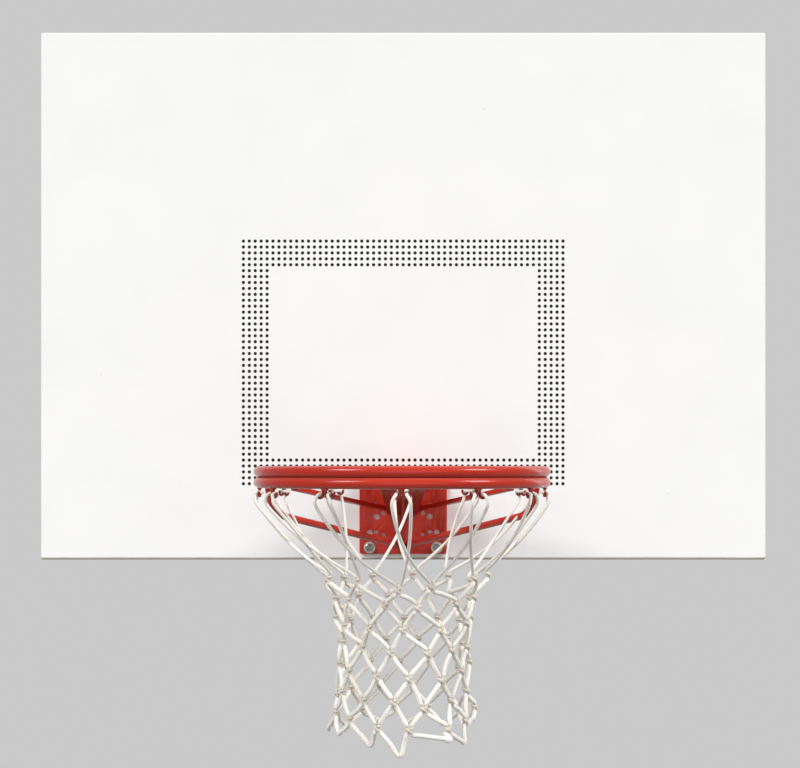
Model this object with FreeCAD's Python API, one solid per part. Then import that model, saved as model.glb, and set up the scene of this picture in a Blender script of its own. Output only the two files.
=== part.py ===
# A basketball backboard with its fixed double-ring goal and its net, as separate named pieces.
# Millimetres, +Z up. The board faces -Y. Left and right are as seen from the front.
# The origin is the centre of the four rear mounting holes, on the rear mounting plane,
# at half the height of the board.

import FreeCAD, Part
import math
import os

# Face sheet of the board
BOARD_WIDTH = 1371.6
BOARD_HEIGHT = 997.0
SHEET_THICKNESS = 2.7
SHEET_CORNER_RADIUS = 4.0
SHEET_EDGE_ROUNDING = 2.2

# Aiming target: a band of punched holes round an empty middle
HOLE_DIAMETER = 6.4
HOLE_PITCH = 11.2
TARGET_COLUMNS = 55
TARGET_ROWS = 42
TARGET_BAND_HOLES = 5
TARGET_DROP = 14.6            # lowest row of holes below the middle of the rim
TARGET_BACKING_THICKNESS = 1.2
TARGET_BACKING_MARGIN = 12.0  # past the outermost holes
TARGET_BACKING_CLEARANCE = 1.0

# Angle frame along the four edges of the sheet, mitred at the corners
FRAME_LEG = 38.0
FRAME_THICKNESS = 4.8
FRAME_INSET = 1.0

# Upright mounting channels and the channels that cross between them
MOUNT_SPACING_X = 889.0
MOUNT_SPACING_Z = 508.0
MOUNT_HOLE_DIAMETER = 14.3
CHANNEL_DEPTH = 50.8
CHANNEL_FLANGE = 44.0
CHANNEL_THICKNESS = 4.8
CROSS_HEIGHT = 60.0
CROSS_SETBACK = 8.0           # backs of the cross channels before the mounting plane
CROSS_THICKNESS = 4.0
BEND_INNER_RADIUS = 2.4

# Rim: two round rods bent to rings, one on the other
RIM_INNER_DIAMETER = 457.2
RIM_ROD_DIAMETER = 18.0
RIM_BOARD_GAP = 152.4         # board face to the nearest inside edge of the rim

# Goal plate on the board face and the plate behind it, set out from the goal bolts
GOAL_BOLT_SPACING_X = 127.0
GOAL_BOLT_SPACING_Z = 127.0
GOAL_BOLT_DROP = 8.0          # upper bolts below the middle of the rim
GOAL_BOLT_EDGE_DISTANCE = 23.0  # lower bolts above the bottom edge of the board
GOAL_PLATE_THICKNESS = 6.4
GOAL_PLATE_CORNER_RADIUS = 5.0
GOAL_PLATE_SIDE_MARGIN = 19.0
GOAL_PLATE_TOP_MARGIN = 21.0
GOAL_PLATE_LOW_MARGIN = 12.0
BACKING_PLATE_SIDE_MARGIN = 14.0
BACKING_PLATE_TOP_MARGIN = 18.0
# Spare fixing holes: side share of half the width, drop share of the height, share of the bolt hole
SPARE_HOLE_SHARES = (
    (0.77, 0.75, 1.0),
    (0.62, 0.74, 0.75),
    (0.45, 0.77, 0.65),
    (0.61, 0.56, 1.0),
    (0.46, 0.525, 0.75),
    (0.64, 0.41, 0.6),
)

# Neck: a tapering box between the goal plate and the rim
NECK_SHEET = 5.0
NECK_PLATE_WIDTH = 56.0
NECK_RIM_WIDTH = 92.0
NECK_TOP = 14.0               # above the middle of the rim
NECK_DEPTH = 72.0             # below the middle of the rim, at the goal plate
GUSSET_THICKNESS = 6.0
GUSSET_REACH = 95.0           # in front of the board face
GUSSET_FOOT_MARGIN = 1.0      # above the bottom edge of the goal plate
GUSSET_NOSE = 9.0

# Braces between the goal plate and the rim. Their places round the rim are shares of the step
# between two net hooks, from the side of the rim towards the board.
UPPER_BRACE_WIDTH = 16.0
UPPER_BRACE_THICKNESS = 8.0
UPPER_BRACE_HEAD_SHARE = 1.24
UPPER_BRACE_FOOT_REACH = 18.0
UPPER_BRACE_FOOT_RISE = 10.0  # above the lower edge of the neck at the goal plate
LOWER_BRACE_DIAMETER = 12.7
LOWER_BRACE_HEAD_SHARE = 0.5
LOWER_BRACE_BEND_SHARE = 0.68
LOWER_BRACE_BEND_DROP = 63.0  # below the middle of the rim
LOWER_BRACE_BEND_RADIUS = 60.0
LOWER_BRACE_FOOT_RISE = 14.0  # above the foot of the gusset
WELD_SINK = 1.2               # how far a welded end is notched round a rod

# Goal bolts, washers and nuts
BOLT_DIAMETER = 9.5
BOLT_HOLE_DIAMETER = 11.1
BOLT_HEAD_FLATS = 14.3
BOLT_HEAD_HEIGHT = 6.2
BOLT_STICKOUT = 3.0
WASHER_DIAMETER = 22.0
WASHER_BORE = 10.3
WASHER_THICKNESS = 1.8
LOCK_WASHER_DIAMETER = 16.5
LOCK_WASHER_BORE = 9.9
LOCK_WASHER_THICKNESS = 2.4
LOCK_WASHER_SLIT = 1.2
NUT_FLATS = 14.3
NUT_HEIGHT = 8.4
NUT_BORE = 9.8

# Net hooks: wire bent to a W and welded under the lower ring by its middle
HOOK_COUNT = 12
HOOK_WIRE_DIAMETER = 4.2
HOOK_DROP = 16.0              # below the lower ring
HOOK_PEAK_RADIUS = 2.6
HOOK_TIP_GAP = 5.8            # between the upturned tips and the lower ring

# Net: cords between knots, one column of meshes to each hook
NET_CORD_DIAMETER = 6.4
NET_KNOT_DIAMETER = 13.0
NET_LENGTH = 416.0            # lower ring to the bottom of the loops
NET_WAIST_RADIUS = 106.0
NET_TWIST_DEGREES = 24.0      # from the hooks to the bottom of the loops, to the right at the front
NET_LOOP_BEND_RADIUS = 9.0
NET_CLEARANCE = 0.25
NET_ROW_DROP_SHARES = (0.374, 0.452, 0.540, 0.629, 0.728, 0.826, 0.918)
NET_ROW_RADIUS_SHARES = (1.21, 1.08, 1.01, 1.00, 1.01, 1.055, 1.10)
NET_LOOP_RADIUS_SHARE = 1.11
NET_FOLD_RADIUS_SHARE = 0.9   # of the cord's distance from the hook's wire

# Overrun of every cutting shape past what it cuts
OVERRUN = 10.0

# Places worked out from the sizes above
SHEET_BACK_Y = -CHANNEL_DEPTH
FACE_Y = SHEET_BACK_Y - SHEET_THICKNESS
RIM_Z = GOAL_BOLT_EDGE_DISTANCE + GOAL_BOLT_SPACING_Z + GOAL_BOLT_DROP - BOARD_HEIGHT / 2
ROD_RADIUS = RIM_ROD_DIAMETER / 2
RIM_RADIUS = RIM_INNER_DIAMETER / 2 + ROD_RADIUS
RIM_REACH = RIM_BOARD_GAP + RIM_INNER_DIAMETER / 2
RIM_AXIS = FreeCAD.Vector(0, FACE_Y - RIM_REACH, RIM_Z)
UP = FreeCAD.Vector(0, 0, 1)
FRAME_HALF_WIDTH = BOARD_WIDTH / 2 - FRAME_INSET
FRAME_HALF_HEIGHT = BOARD_HEIGHT / 2 - FRAME_INSET
STACK_BACK_Y = SHEET_BACK_Y + FRAME_THICKNESS
GOAL_PLATE_WIDTH = GOAL_BOLT_SPACING_X + 2 * GOAL_PLATE_SIDE_MARGIN
GOAL_PLATE_TOP = GOAL_PLATE_TOP_MARGIN - GOAL_BOLT_DROP
GOAL_PLATE_BOTTOM = GOAL_BOLT_DROP + GOAL_BOLT_SPACING_Z + GOAL_PLATE_LOW_MARGIN
GUSSET_DEPTH = GOAL_PLATE_BOTTOM - GUSSET_FOOT_MARGIN
BACKING_PLATE_WIDTH = GOAL_BOLT_SPACING_X + 2 * BACKING_PLATE_SIDE_MARGIN
BACKING_PLATE_TOP = BACKING_PLATE_TOP_MARGIN - GOAL_BOLT_DROP
TARGET_EDGE = HOLE_DIAMETER / 2 + TARGET_BACKING_MARGIN
TARGET_LOW = RIM_Z - TARGET_DROP - TARGET_EDGE
TARGET_HIGH = RIM_Z - TARGET_DROP + (TARGET_ROWS - 1) * HOLE_PITCH + TARGET_EDGE
GOAL_BOLT_ROWS = (RIM_Z - GOAL_BOLT_DROP, RIM_Z - GOAL_BOLT_DROP - GOAL_BOLT_SPACING_Z)
GOAL_BOLT_PLACES = [(side * GOAL_BOLT_SPACING_X / 2, z) for side in (-1, 1) for z in GOAL_BOLT_ROWS]
HOOK_STEP = 360.0 / HOOK_COUNT


def in_front(x, reach, rise):
    """Return the point at a reach in front of the board face and a rise over the rim's middle."""
    return FreeCAD.Vector(x, FACE_Y - reach, RIM_Z + rise)


def box(x0, x1, y0, y1, z0, z1):
    """Return the block between two limits on each axis."""
    return Part.makeBox(x1 - x0, y1 - y0, z1 - z0, FreeCAD.Vector(x0, y0, z0))


def rod_along_y(diameter, x, z, y0, y1):
    """Return a round bar along Y."""
    start = FreeCAD.Vector(x, y0, z)
    return Part.makeCylinder(diameter / 2, y1 - y0, start, FreeCAD.Vector(0, 1, 0))


def mirrored(shape):
    """Return the left-hand copy of a right-hand piece."""
    return shape.mirror(FreeCAD.Vector(0, 0, 0), FreeCAD.Vector(1, 0, 0))


def turned(shape, degrees):
    """Return a copy turned about the axis of the rim."""
    copy = shape.copy()
    copy.rotate(RIM_AXIS, UP, degrees)
    return copy


def rounded_wire(points, radii, closed):
    """Return straight runs through the points, with a tangent arc at each point of non-zero radius."""
    count = len(points)
    edges = []
    ends = []
    for index, point in enumerate(points):
        at_end = not closed and index in (0, count - 1)
        if at_end or radii[index] == 0:
            ends.append((point, None, point))
            continue
        inward = (point - points[index - 1]).normalize()
        outward = (points[(index + 1) % count] - point).normalize()
        half_turn = inward.getAngle(outward) / 2
        trim = radii[index] * math.tan(half_turn)
        middle = point + (outward - inward).normalize() * (radii[index] / math.cos(half_turn) - radii[index])
        ends.append((point - inward * trim, middle, point + outward * trim))
    for index in range(count):
        start, middle, end = ends[index]
        if middle is not None:
            edges.append(Part.Arc(start, middle, end).toShape())
        if closed or index + 1 < count:
            edges.append(Part.LineSegment(end, ends[(index + 1) % count][0]).toShape())
    return Part.Wire(edges)


def plate(points, pull, radii=None):
    """Return a flat outline, with rounded corners where radii are given, pulled to a solid."""
    wire = rounded_wire(points, radii or [0] * len(points), True)
    return Part.Face(wire).extrude(pull)


def upright_prism(plan, rise0, rise1):
    """Return a solid over a plan of (x, reach) points between two rises over the rim's middle."""
    return plate([in_front(x, reach, rise0) for x, reach in plan], UP * (rise1 - rise0))


def side_prism(profile, x0, x1):
    """Return a solid with a side view of (reach, rise) points between two sides."""
    return plate([in_front(x0, reach, rise) for reach, rise in profile], FreeCAD.Vector(x1 - x0, 0, 0))


def swept_rod(path, diameter):
    """Return a round rod along a smooth path."""
    first = path.OrderedEdges[0]
    start = first.valueAt(first.FirstParameter)
    along = first.tangentAt(first.FirstParameter)
    section = Part.Wire([Part.makeCircle(diameter / 2, start, along)])
    return path.makePipeShell([section], True, False)


def hexagon_bar(flats, x, z, y0, y1):
    """Return a six-sided bar along Y."""
    corner = flats / 2 / math.cos(math.pi / 6)
    angles = [math.pi / 3 * side for side in range(6)]
    points = [FreeCAD.Vector(x + corner * math.cos(a), y0, z + corner * math.sin(a)) for a in angles]
    return plate(points, FreeCAD.Vector(0, y1 - y0, 0))


def target_places():
    """Return the (x, z) places of the punched holes, leaving out those under the goal plate."""
    clear_side = (GOAL_PLATE_WIDTH + HOLE_DIAMETER) / 2
    clear_top = RIM_Z + GOAL_PLATE_TOP + HOLE_DIAMETER / 2
    places = []
    for column in range(TARGET_COLUMNS):
        for row in range(TARGET_ROWS):
            from_side = min(column, TARGET_COLUMNS - 1 - column)
            from_end = min(row, TARGET_ROWS - 1 - row)
            x = (column - (TARGET_COLUMNS - 1) / 2) * HOLE_PITCH
            z = RIM_Z - TARGET_DROP + row * HOLE_PITCH
            under_plate = abs(x) < clear_side and z < clear_top
            if min(from_side, from_end) < TARGET_BAND_HOLES and not under_plate:
                places.append((x, z))
    return places


def face_sheet():
    """Return the flat face sheet with its target holes and the four goal bolt holes."""
    half_width = BOARD_WIDTH / 2
    half_height = BOARD_HEIGHT / 2
    corners = ((-half_width, -half_height), (half_width, -half_height),
               (half_width, half_height), (-half_width, half_height))
    points = [FreeCAD.Vector(x, FACE_Y, z) for x, z in corners]
    sheet = plate(points, FreeCAD.Vector(0, SHEET_THICKNESS, 0), [SHEET_CORNER_RADIUS] * len(points))
    rim_edges = [edge for edge in sheet.Edges if edge.BoundBox.YMax < FACE_Y + SHEET_THICKNESS / 2]
    sheet = sheet.makeFillet(SHEET_EDGE_ROUNDING, rim_edges)
    front = FACE_Y - OVERRUN
    back = SHEET_BACK_Y + OVERRUN
    punches = [rod_along_y(HOLE_DIAMETER, x, z, front, back) for x, z in target_places()]
    punches += [rod_along_y(BOLT_HOLE_DIAMETER, x, z, front, back) for x, z in GOAL_BOLT_PLACES]
    return sheet.cut(Part.makeCompound(punches))


def frame_angle(half_length, half_across):
    """Return the angle along the upper edge of a frame of the given half sizes, mitred at both ends."""
    inner_length = half_length - FRAME_LEG
    inner_across = half_across - FRAME_LEG
    outline = ((-half_length, half_across), (half_length, half_across),
               (inner_length, inner_across), (-inner_length, inner_across))
    points = [FreeCAD.Vector(x, SHEET_BACK_Y, z) for x, z in outline]
    block = plate(points, FreeCAD.Vector(0, FRAME_LEG, 0))
    hollow = box(-half_length - OVERRUN, half_length + OVERRUN,
                 STACK_BACK_Y, SHEET_BACK_Y + FRAME_LEG + OVERRUN,
                 inner_across - OVERRUN, half_across - FRAME_THICKNESS)
    return block.cut(hollow)


def goal_bolt_drills():
    """Return the bars that drill the goal bolt holes behind the face sheet."""
    front = SHEET_BACK_Y - OVERRUN
    back = STACK_BACK_Y + OVERRUN
    drills = [rod_along_y(BOLT_HOLE_DIAMETER, x, z, front, back) for x, z in GOAL_BOLT_PLACES]
    return Part.makeCompound(drills)


def edge_frame():
    """Return the four angles of the edge frame by name."""
    top = frame_angle(FRAME_HALF_WIDTH, FRAME_HALF_HEIGHT)
    right = frame_angle(FRAME_HALF_HEIGHT, FRAME_HALF_WIDTH)
    bottom = top.copy()
    bottom.rotate(FreeCAD.Vector(0, 0, 0), FreeCAD.Vector(0, 1, 0), 180)
    right.rotate(FreeCAD.Vector(0, 0, 0), FreeCAD.Vector(0, 1, 0), 90)
    bottom = bottom.cut(goal_bolt_drills())
    return {
        "top_frame_angle": top,
        "bottom_frame_angle": bottom,
        "right_frame_angle": right,
        "left_frame_angle": mirrored(right),
    }


def channel_outline(web, flange, thickness):
    """Return the (along flange, along web) points and corner radii of a channel section."""
    points = [(0, 0), (flange, 0), (flange, thickness), (thickness, thickness),
              (thickness, web - thickness), (flange, web - thickness), (flange, web), (0, web)]
    outer = BEND_INNER_RADIUS + thickness
    return points, [outer, 0, 0, BEND_INNER_RADIUS, BEND_INNER_RADIUS, 0, 0, outer]


def mounting_channel():
    """Return the right upright channel, its web inwards and its rear flange on the mounting plane."""
    outline, radii = channel_outline(CHANNEL_DEPTH, CHANNEL_FLANGE, CHANNEL_THICKNESS)
    web_x = (MOUNT_SPACING_X - CHANNEL_FLANGE) / 2
    foot = FRAME_LEG - FRAME_HALF_HEIGHT
    points = [FreeCAD.Vector(web_x + across, SHEET_BACK_Y + along, foot) for across, along in outline]
    channel = plate(points, UP * (-2 * foot), radii)
    for z in (-MOUNT_SPACING_Z / 2, MOUNT_SPACING_Z / 2):
        bore = rod_along_y(MOUNT_HOLE_DIAMETER, MOUNT_SPACING_X / 2, z, -CHANNEL_THICKNESS - OVERRUN, OVERRUN)
        channel = channel.cut(bore)
    return channel


def cross_channel(middle_z, front_y):
    """Return a level channel between the two uprights, open towards the face sheet."""
    outline, radii = channel_outline(CROSS_HEIGHT, -CROSS_SETBACK - front_y, CROSS_THICKNESS)
    half_length = (MOUNT_SPACING_X - CHANNEL_FLANGE) / 2
    low = middle_z - CROSS_HEIGHT / 2
    points = [FreeCAD.Vector(-half_length, -CROSS_SETBACK - across, low + along) for across, along in outline]
    return plate(points, FreeCAD.Vector(2 * half_length, 0, 0), radii)


def target_backing():
    """Return the dark sheet behind the target holes, notched round the goal's backing plate."""
    half_width = (TARGET_COLUMNS - 1) / 2 * HOLE_PITCH + TARGET_EDGE
    back = SHEET_BACK_Y + TARGET_BACKING_THICKNESS
    sheet = box(-half_width, half_width, SHEET_BACK_Y, back, TARGET_LOW, TARGET_HIGH)
    notch_side = BACKING_PLATE_WIDTH / 2 + TARGET_BACKING_CLEARANCE
    notch_top = RIM_Z + BACKING_PLATE_TOP + TARGET_BACKING_CLEARANCE
    notch = box(-notch_side, notch_side, SHEET_BACK_Y - OVERRUN, back + OVERRUN,
                TARGET_LOW - OVERRUN, notch_top)
    return sheet.cut(notch)


def goal_backing_plate():
    """Return the plate behind the face sheet that takes the upper goal bolts."""
    half_width = BACKING_PLATE_WIDTH / 2
    low = FRAME_LEG - FRAME_HALF_HEIGHT
    backing = box(-half_width, half_width, SHEET_BACK_Y, STACK_BACK_Y, low, RIM_Z + BACKING_PLATE_TOP)
    return backing.cut(goal_bolt_drills())


def goal_plate():
    """Return the plate of the goal with its bolt holes and spare fixing holes."""
    half_width = GOAL_PLATE_WIDTH / 2
    height = GOAL_PLATE_TOP + GOAL_PLATE_BOTTOM
    corners = ((-half_width, -GOAL_PLATE_BOTTOM), (half_width, -GOAL_PLATE_BOTTOM),
               (half_width, GOAL_PLATE_TOP), (-half_width, GOAL_PLATE_TOP))
    points = [in_front(x, GOAL_PLATE_THICKNESS, rise) for x, rise in corners]
    radii = [GOAL_PLATE_CORNER_RADIUS] * len(points)
    solid = plate(points, FreeCAD.Vector(0, GOAL_PLATE_THICKNESS, 0), radii)
    holes = [(x, z, BOLT_HOLE_DIAMETER) for x, z in GOAL_BOLT_PLACES]
    for side_share, drop_share, size_share in SPARE_HOLE_SHARES:
        z = RIM_Z + GOAL_PLATE_TOP - drop_share * height
        for side in (-half_width, half_width):
            holes.append((side * side_share, z, BOLT_HOLE_DIAMETER * size_share))
    front = FACE_Y - GOAL_PLATE_THICKNESS - OVERRUN
    drills = [rod_along_y(diameter, x, z, front, FACE_Y + OVERRUN) for x, z, diameter in holes]
    return solid.cut(Part.makeCompound(drills))


def ring(rise):
    """Return one ring of the rim at a rise over the rim's middle."""
    return Part.makeTorus(RIM_RADIUS, ROD_RADIUS, RIM_AXIS + UP * rise)


def neck_side(inset, reach):
    """Return how far the side of the neck, less an inset, stands from the middle at a reach."""
    share = (reach - GOAL_PLATE_THICKNESS) / (RIM_REACH - RIM_RADIUS - GOAL_PLATE_THICKNESS)
    return (NECK_PLATE_WIDTH + (NECK_RIM_WIDTH - NECK_PLATE_WIDTH) * share) / 2 - inset


def neck_underside(reach):
    """Return the rise of the neck's sloping underside at a reach."""
    share = (reach - GOAL_PLATE_THICKNESS) / (RIM_REACH - RIM_RADIUS - GOAL_PLATE_THICKNESS)
    return -NECK_DEPTH + (NECK_DEPTH - ROD_RADIUS) * share


def neck_plan(inset):
    """Return the (x, reach) outline of the neck, less an inset at each side."""
    near = GOAL_PLATE_THICKNESS
    far = RIM_REACH - RIM_RADIUS
    return ((-neck_side(inset, near), near), (neck_side(inset, near), near),
            (neck_side(inset, far), far), (-neck_side(inset, far), far))


def neck_pieces(rings):
    """Return the neck's top, cheeks, sloping plate and gusset, notched round the rings."""
    near = GOAL_PLATE_THICKNESS
    far = RIM_REACH - RIM_RADIUS
    cheek_top = NECK_TOP - NECK_SHEET
    wedge = ((near, cheek_top), (far, cheek_top), (far, neck_underside(far)), (near, neck_underside(near)))
    band = ((near, neck_underside(near) + NECK_SHEET), (far, neck_underside(far) + NECK_SHEET),
            (far, neck_underside(far)), (near, neck_underside(near)))
    side = (NECK_RIM_WIDTH + NECK_PLATE_WIDTH) / 2
    outer_plan = neck_plan(0)
    inner_plan = neck_plan(NECK_SHEET)
    cheek_plan = (inner_plan[1], outer_plan[1], outer_plan[2], inner_plan[2])
    cheek = upright_prism(cheek_plan, -NECK_DEPTH, cheek_top).common(side_prism(wedge, -side, side))
    slope = upright_prism(inner_plan, -NECK_DEPTH, cheek_top).common(side_prism(band, -side, side))
    top = upright_prism(outer_plan, cheek_top, NECK_TOP)
    fin = ((near, neck_underside(near)), (GUSSET_REACH, neck_underside(GUSSET_REACH)),
           (near + GUSSET_NOSE, -GUSSET_DEPTH), (near, -GUSSET_DEPTH))
    notched = {}
    for name, solid in (("neck_top_plate", top), ("neck_right_cheek", cheek),
                        ("neck_left_cheek", mirrored(cheek)), ("neck_sloping_plate", slope)):
        notched[name] = solid.cut(Part.makeCompound(rings)).Solids[0]
    notched["neck_gusset"] = side_prism(fin, -GUSSET_THICKNESS / 2, GUSSET_THICKNESS / 2)
    return notched


def rim_place(step_share, rise):
    """Return the place over or under the rod, some hook steps from the right side towards the board."""
    angle = math.radians(step_share * HOOK_STEP)
    return in_front(RIM_RADIUS * math.cos(angle), RIM_REACH - RIM_RADIUS * math.sin(angle), rise)


def behind_goal_face():
    """Return the space behind the front of the goal plate, for trimming the feet of the braces."""
    size = RIM_REACH
    return box(-size, size, FACE_Y - GOAL_PLATE_THICKNESS, FACE_Y + size, RIM_Z - size, RIM_Z + size)


def upper_brace(lower_ring):
    """Return the right flat brace from under the rim to the cheek of the neck."""
    sink = WELD_SINK - UPPER_BRACE_THICKNESS / 2 - RIM_ROD_DIAMETER
    head = rim_place(UPPER_BRACE_HEAD_SHARE, sink)
    foot_side = neck_side(0, UPPER_BRACE_FOOT_REACH)
    foot = in_front(foot_side, UPPER_BRACE_FOOT_REACH, UPPER_BRACE_FOOT_RISE - NECK_DEPTH)
    along = (foot - head).normalize()
    across = along.cross(UP).normalize()
    lift = across.cross(along)
    foot = foot + along * UPPER_BRACE_WIDTH
    half_width = across * (UPPER_BRACE_WIDTH / 2)
    base = head - lift * (UPPER_BRACE_THICKNESS / 2)
    end = foot - lift * (UPPER_BRACE_THICKNESS / 2)
    outline = (base - half_width, base + half_width, end + half_width, end - half_width)
    bar = plate(outline, lift * UPPER_BRACE_THICKNESS)
    bar = bar.cut(upright_prism(neck_plan(0), -NECK_DEPTH - OVERRUN, NECK_TOP + OVERRUN))
    bar = bar.cut(behind_goal_face()).cut(lower_ring)
    return max(bar.Solids, key=lambda solid: solid.Volume)


def lower_brace(lower_ring):
    """Return the right bent rod from the rim to the foot of the goal plate."""
    head = rim_place(LOWER_BRACE_HEAD_SHARE, -ROD_RADIUS)
    bend = rim_place(LOWER_BRACE_BEND_SHARE, -LOWER_BRACE_BEND_DROP)
    foot = in_front(0, 0, LOWER_BRACE_FOOT_RISE - GUSSET_DEPTH)
    past = foot + (foot - bend).normalize() * LOWER_BRACE_DIAMETER
    path = rounded_wire((head, bend, past), (0, LOWER_BRACE_BEND_RADIUS, 0), False)
    rod = swept_rod(path, LOWER_BRACE_DIAMETER).cut(lower_ring)
    past_gusset = box(-RIM_REACH, GUSSET_THICKNESS / 2, FACE_Y - RIM_REACH, FACE_Y, RIM_Z - RIM_REACH, RIM_Z)
    rod = rod.cut(behind_goal_face()).cut(past_gusset)
    return max(rod.Solids, key=lambda solid: solid.Volume)


def hook_bow_radius():
    """Return the middle-line radius of a hook's bow, which leaves room for the net's cord."""
    return (HOOK_WIRE_DIAMETER + NET_CORD_DIAMETER) / 2 + NET_CLEARANCE


def hook_bow_rise():
    """Return the rise of the middle of a hook's bows over the rim's middle."""
    return HOOK_WIRE_DIAMETER / 2 + hook_bow_radius() - RIM_ROD_DIAMETER - HOOK_DROP


def net_hook(lower_ring):
    """Return the front hook: a wire bent to a W, its middle peak let into the lower ring."""
    bow = hook_bow_radius()
    bow_rise = hook_bow_rise()
    peak_rise = WELD_SINK - RIM_ROD_DIAMETER - HOOK_WIRE_DIAMETER / 2 - HOOK_PEAK_RADIUS
    tip_rise = -RIM_ROD_DIAMETER - HOOK_TIP_GAP
    reach = RIM_REACH + RIM_RADIUS
    inner = HOOK_PEAK_RADIUS
    outer = HOOK_PEAK_RADIUS + 2 * bow

    def spot(x, rise):
        return in_front(x, reach, rise)

    edges = []
    for side in (-1, 1):
        bow_foot = spot(side * (inner + outer) / 2, bow_rise - bow)
        bow_start = spot(side * outer, bow_rise)
        bow_end = spot(side * inner, bow_rise)
        tip_run = Part.LineSegment(spot(side * outer, tip_rise), bow_start)
        bow_arc = Part.Arc(bow_start, bow_foot, bow_end)
        rise_run = Part.LineSegment(bow_end, spot(side * inner, peak_rise))
        edges += [tip_run.toShape(), bow_arc.toShape(), rise_run.toShape()]
    peak = Part.Arc(spot(-inner, peak_rise), spot(0, peak_rise + HOOK_PEAK_RADIUS), spot(inner, peak_rise))
    ordered = Part.sortEdges(edges + [peak.toShape()])[0]
    return swept_rod(Part.Wire(ordered), HOOK_WIRE_DIAMETER).cut(lower_ring).Solids[0]


def net_place(degrees, radius, drop):
    """Return a point of the twisted net at an angle from its front, below the lower ring."""
    angle = math.radians(degrees + NET_TWIST_DEGREES * drop / NET_LENGTH)
    reach = RIM_REACH + radius * math.cos(angle)
    return in_front(radius * math.sin(angle), reach, -RIM_ROD_DIAMETER - drop)


def net_knot_place(row, step):
    """Return the middle of a knot. Rows alternate by half a step round the net."""
    radius = NET_WAIST_RADIUS * NET_ROW_RADIUS_SHARES[row]
    return net_place((step + (row + 1) % 2 / 2) * HOOK_STEP, radius, NET_LENGTH * NET_ROW_DROP_SHARES[row])


def toward(start, end, distance):
    """Return the point at a distance from the start on the way to the end."""
    return start + (end - start).normalize() * distance


def net_top_loop():
    """Return the front loop: through both bows of its hook, outside its stem, down to two knots."""
    bow_side = HOOK_PEAK_RADIUS + hook_bow_radius()
    rise = hook_bow_rise()
    rest = (HOOK_WIRE_DIAMETER + NET_CORD_DIAMETER) / 2 + NET_CLEARANCE
    inside = RIM_REACH + RIM_RADIUS - rest
    outside = RIM_REACH + RIM_RADIUS + rest
    hook_run = [in_front(-bow_side, inside, rise), in_front(-bow_side, outside, rise),
                in_front(bow_side, outside, rise), in_front(bow_side, inside, rise)]
    seat = NET_KNOT_DIAMETER / 2 + NET_CLEARANCE
    beside = NET_CORD_DIAMETER / 2 + NET_CLEARANCE
    left_knot = toward(net_knot_place(0, -1), net_knot_place(0, 0), beside)
    right_knot = toward(net_knot_place(0, 0), net_knot_place(0, -1), beside)
    left_end = toward(left_knot, hook_run[0], seat)
    right_end = toward(right_knot, hook_run[-1], seat)
    points = [left_end] + hook_run + [right_end]
    radii = [0] + [rest * NET_FOLD_RADIUS_SHARE] * len(hook_run) + [0]
    return swept_rod(rounded_wire(points, radii, False), NET_CORD_DIAMETER)


def net_strand(start, end):
    """Return the straight cord between two knots."""
    seat = NET_KNOT_DIAMETER / 2 + NET_CLEARANCE
    foot = toward(start, end, seat)
    run = toward(end, start, seat) - foot
    return Part.makeCylinder(NET_CORD_DIAMETER / 2, run.Length, foot, run)


def net_bottom_loop():
    """Return the front loop that hangs from two knots of the lowest row."""
    last = len(NET_ROW_DROP_SHARES) - 1
    left = net_knot_place(last, -1)
    right = net_knot_place(last, 0)
    hang = net_place(0, NET_WAIST_RADIUS * NET_LOOP_RADIUS_SHARE, NET_LENGTH)
    seat = NET_KNOT_DIAMETER / 2 + NET_CLEARANCE
    points = (toward(left, hang, seat), hang, toward(right, hang, seat))
    return swept_rod(rounded_wire(points, (0, NET_LOOP_BEND_RADIUS, 0), False), NET_CORD_DIAMETER)


def around(shape):
    """Return one copy of a shape at each hook's angle."""
    return [turned(shape, step * HOOK_STEP) for step in range(HOOK_COUNT)]


def net_pieces():
    """Return the net's cords row by row, and its knots, by name."""
    rows = len(NET_ROW_DROP_SHARES)
    pieces = {"net_top_loops": Part.makeCompound(around(net_top_loop()))}
    for row in range(rows - 1):
        start = net_knot_place(row, 0)
        lower_steps = (0, -1) if row % 2 else (0, 1)
        strands = [net_strand(start, net_knot_place(row + 1, step)) for step in lower_steps]
        copies = around(strands[0]) + around(strands[1])
        pieces["net_mesh_row_%d" % (row + 1)] = Part.makeCompound(copies)
    pieces["net_bottom_loops"] = Part.makeCompound(around(net_bottom_loop()))
    knots = []
    for row in range(rows):
        knots += around(Part.makeSphere(NET_KNOT_DIAMETER / 2, net_knot_place(row, 0)))
    pieces["net_knots"] = Part.makeCompound(knots)
    return pieces


def washer(diameter, bore, x, z, y0, y1):
    """Return a flat ring on a bolt."""
    blank = rod_along_y(diameter, x, z, y0, y1)
    return blank.cut(rod_along_y(bore, x, z, y0 - OVERRUN, y1 + OVERRUN))


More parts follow.
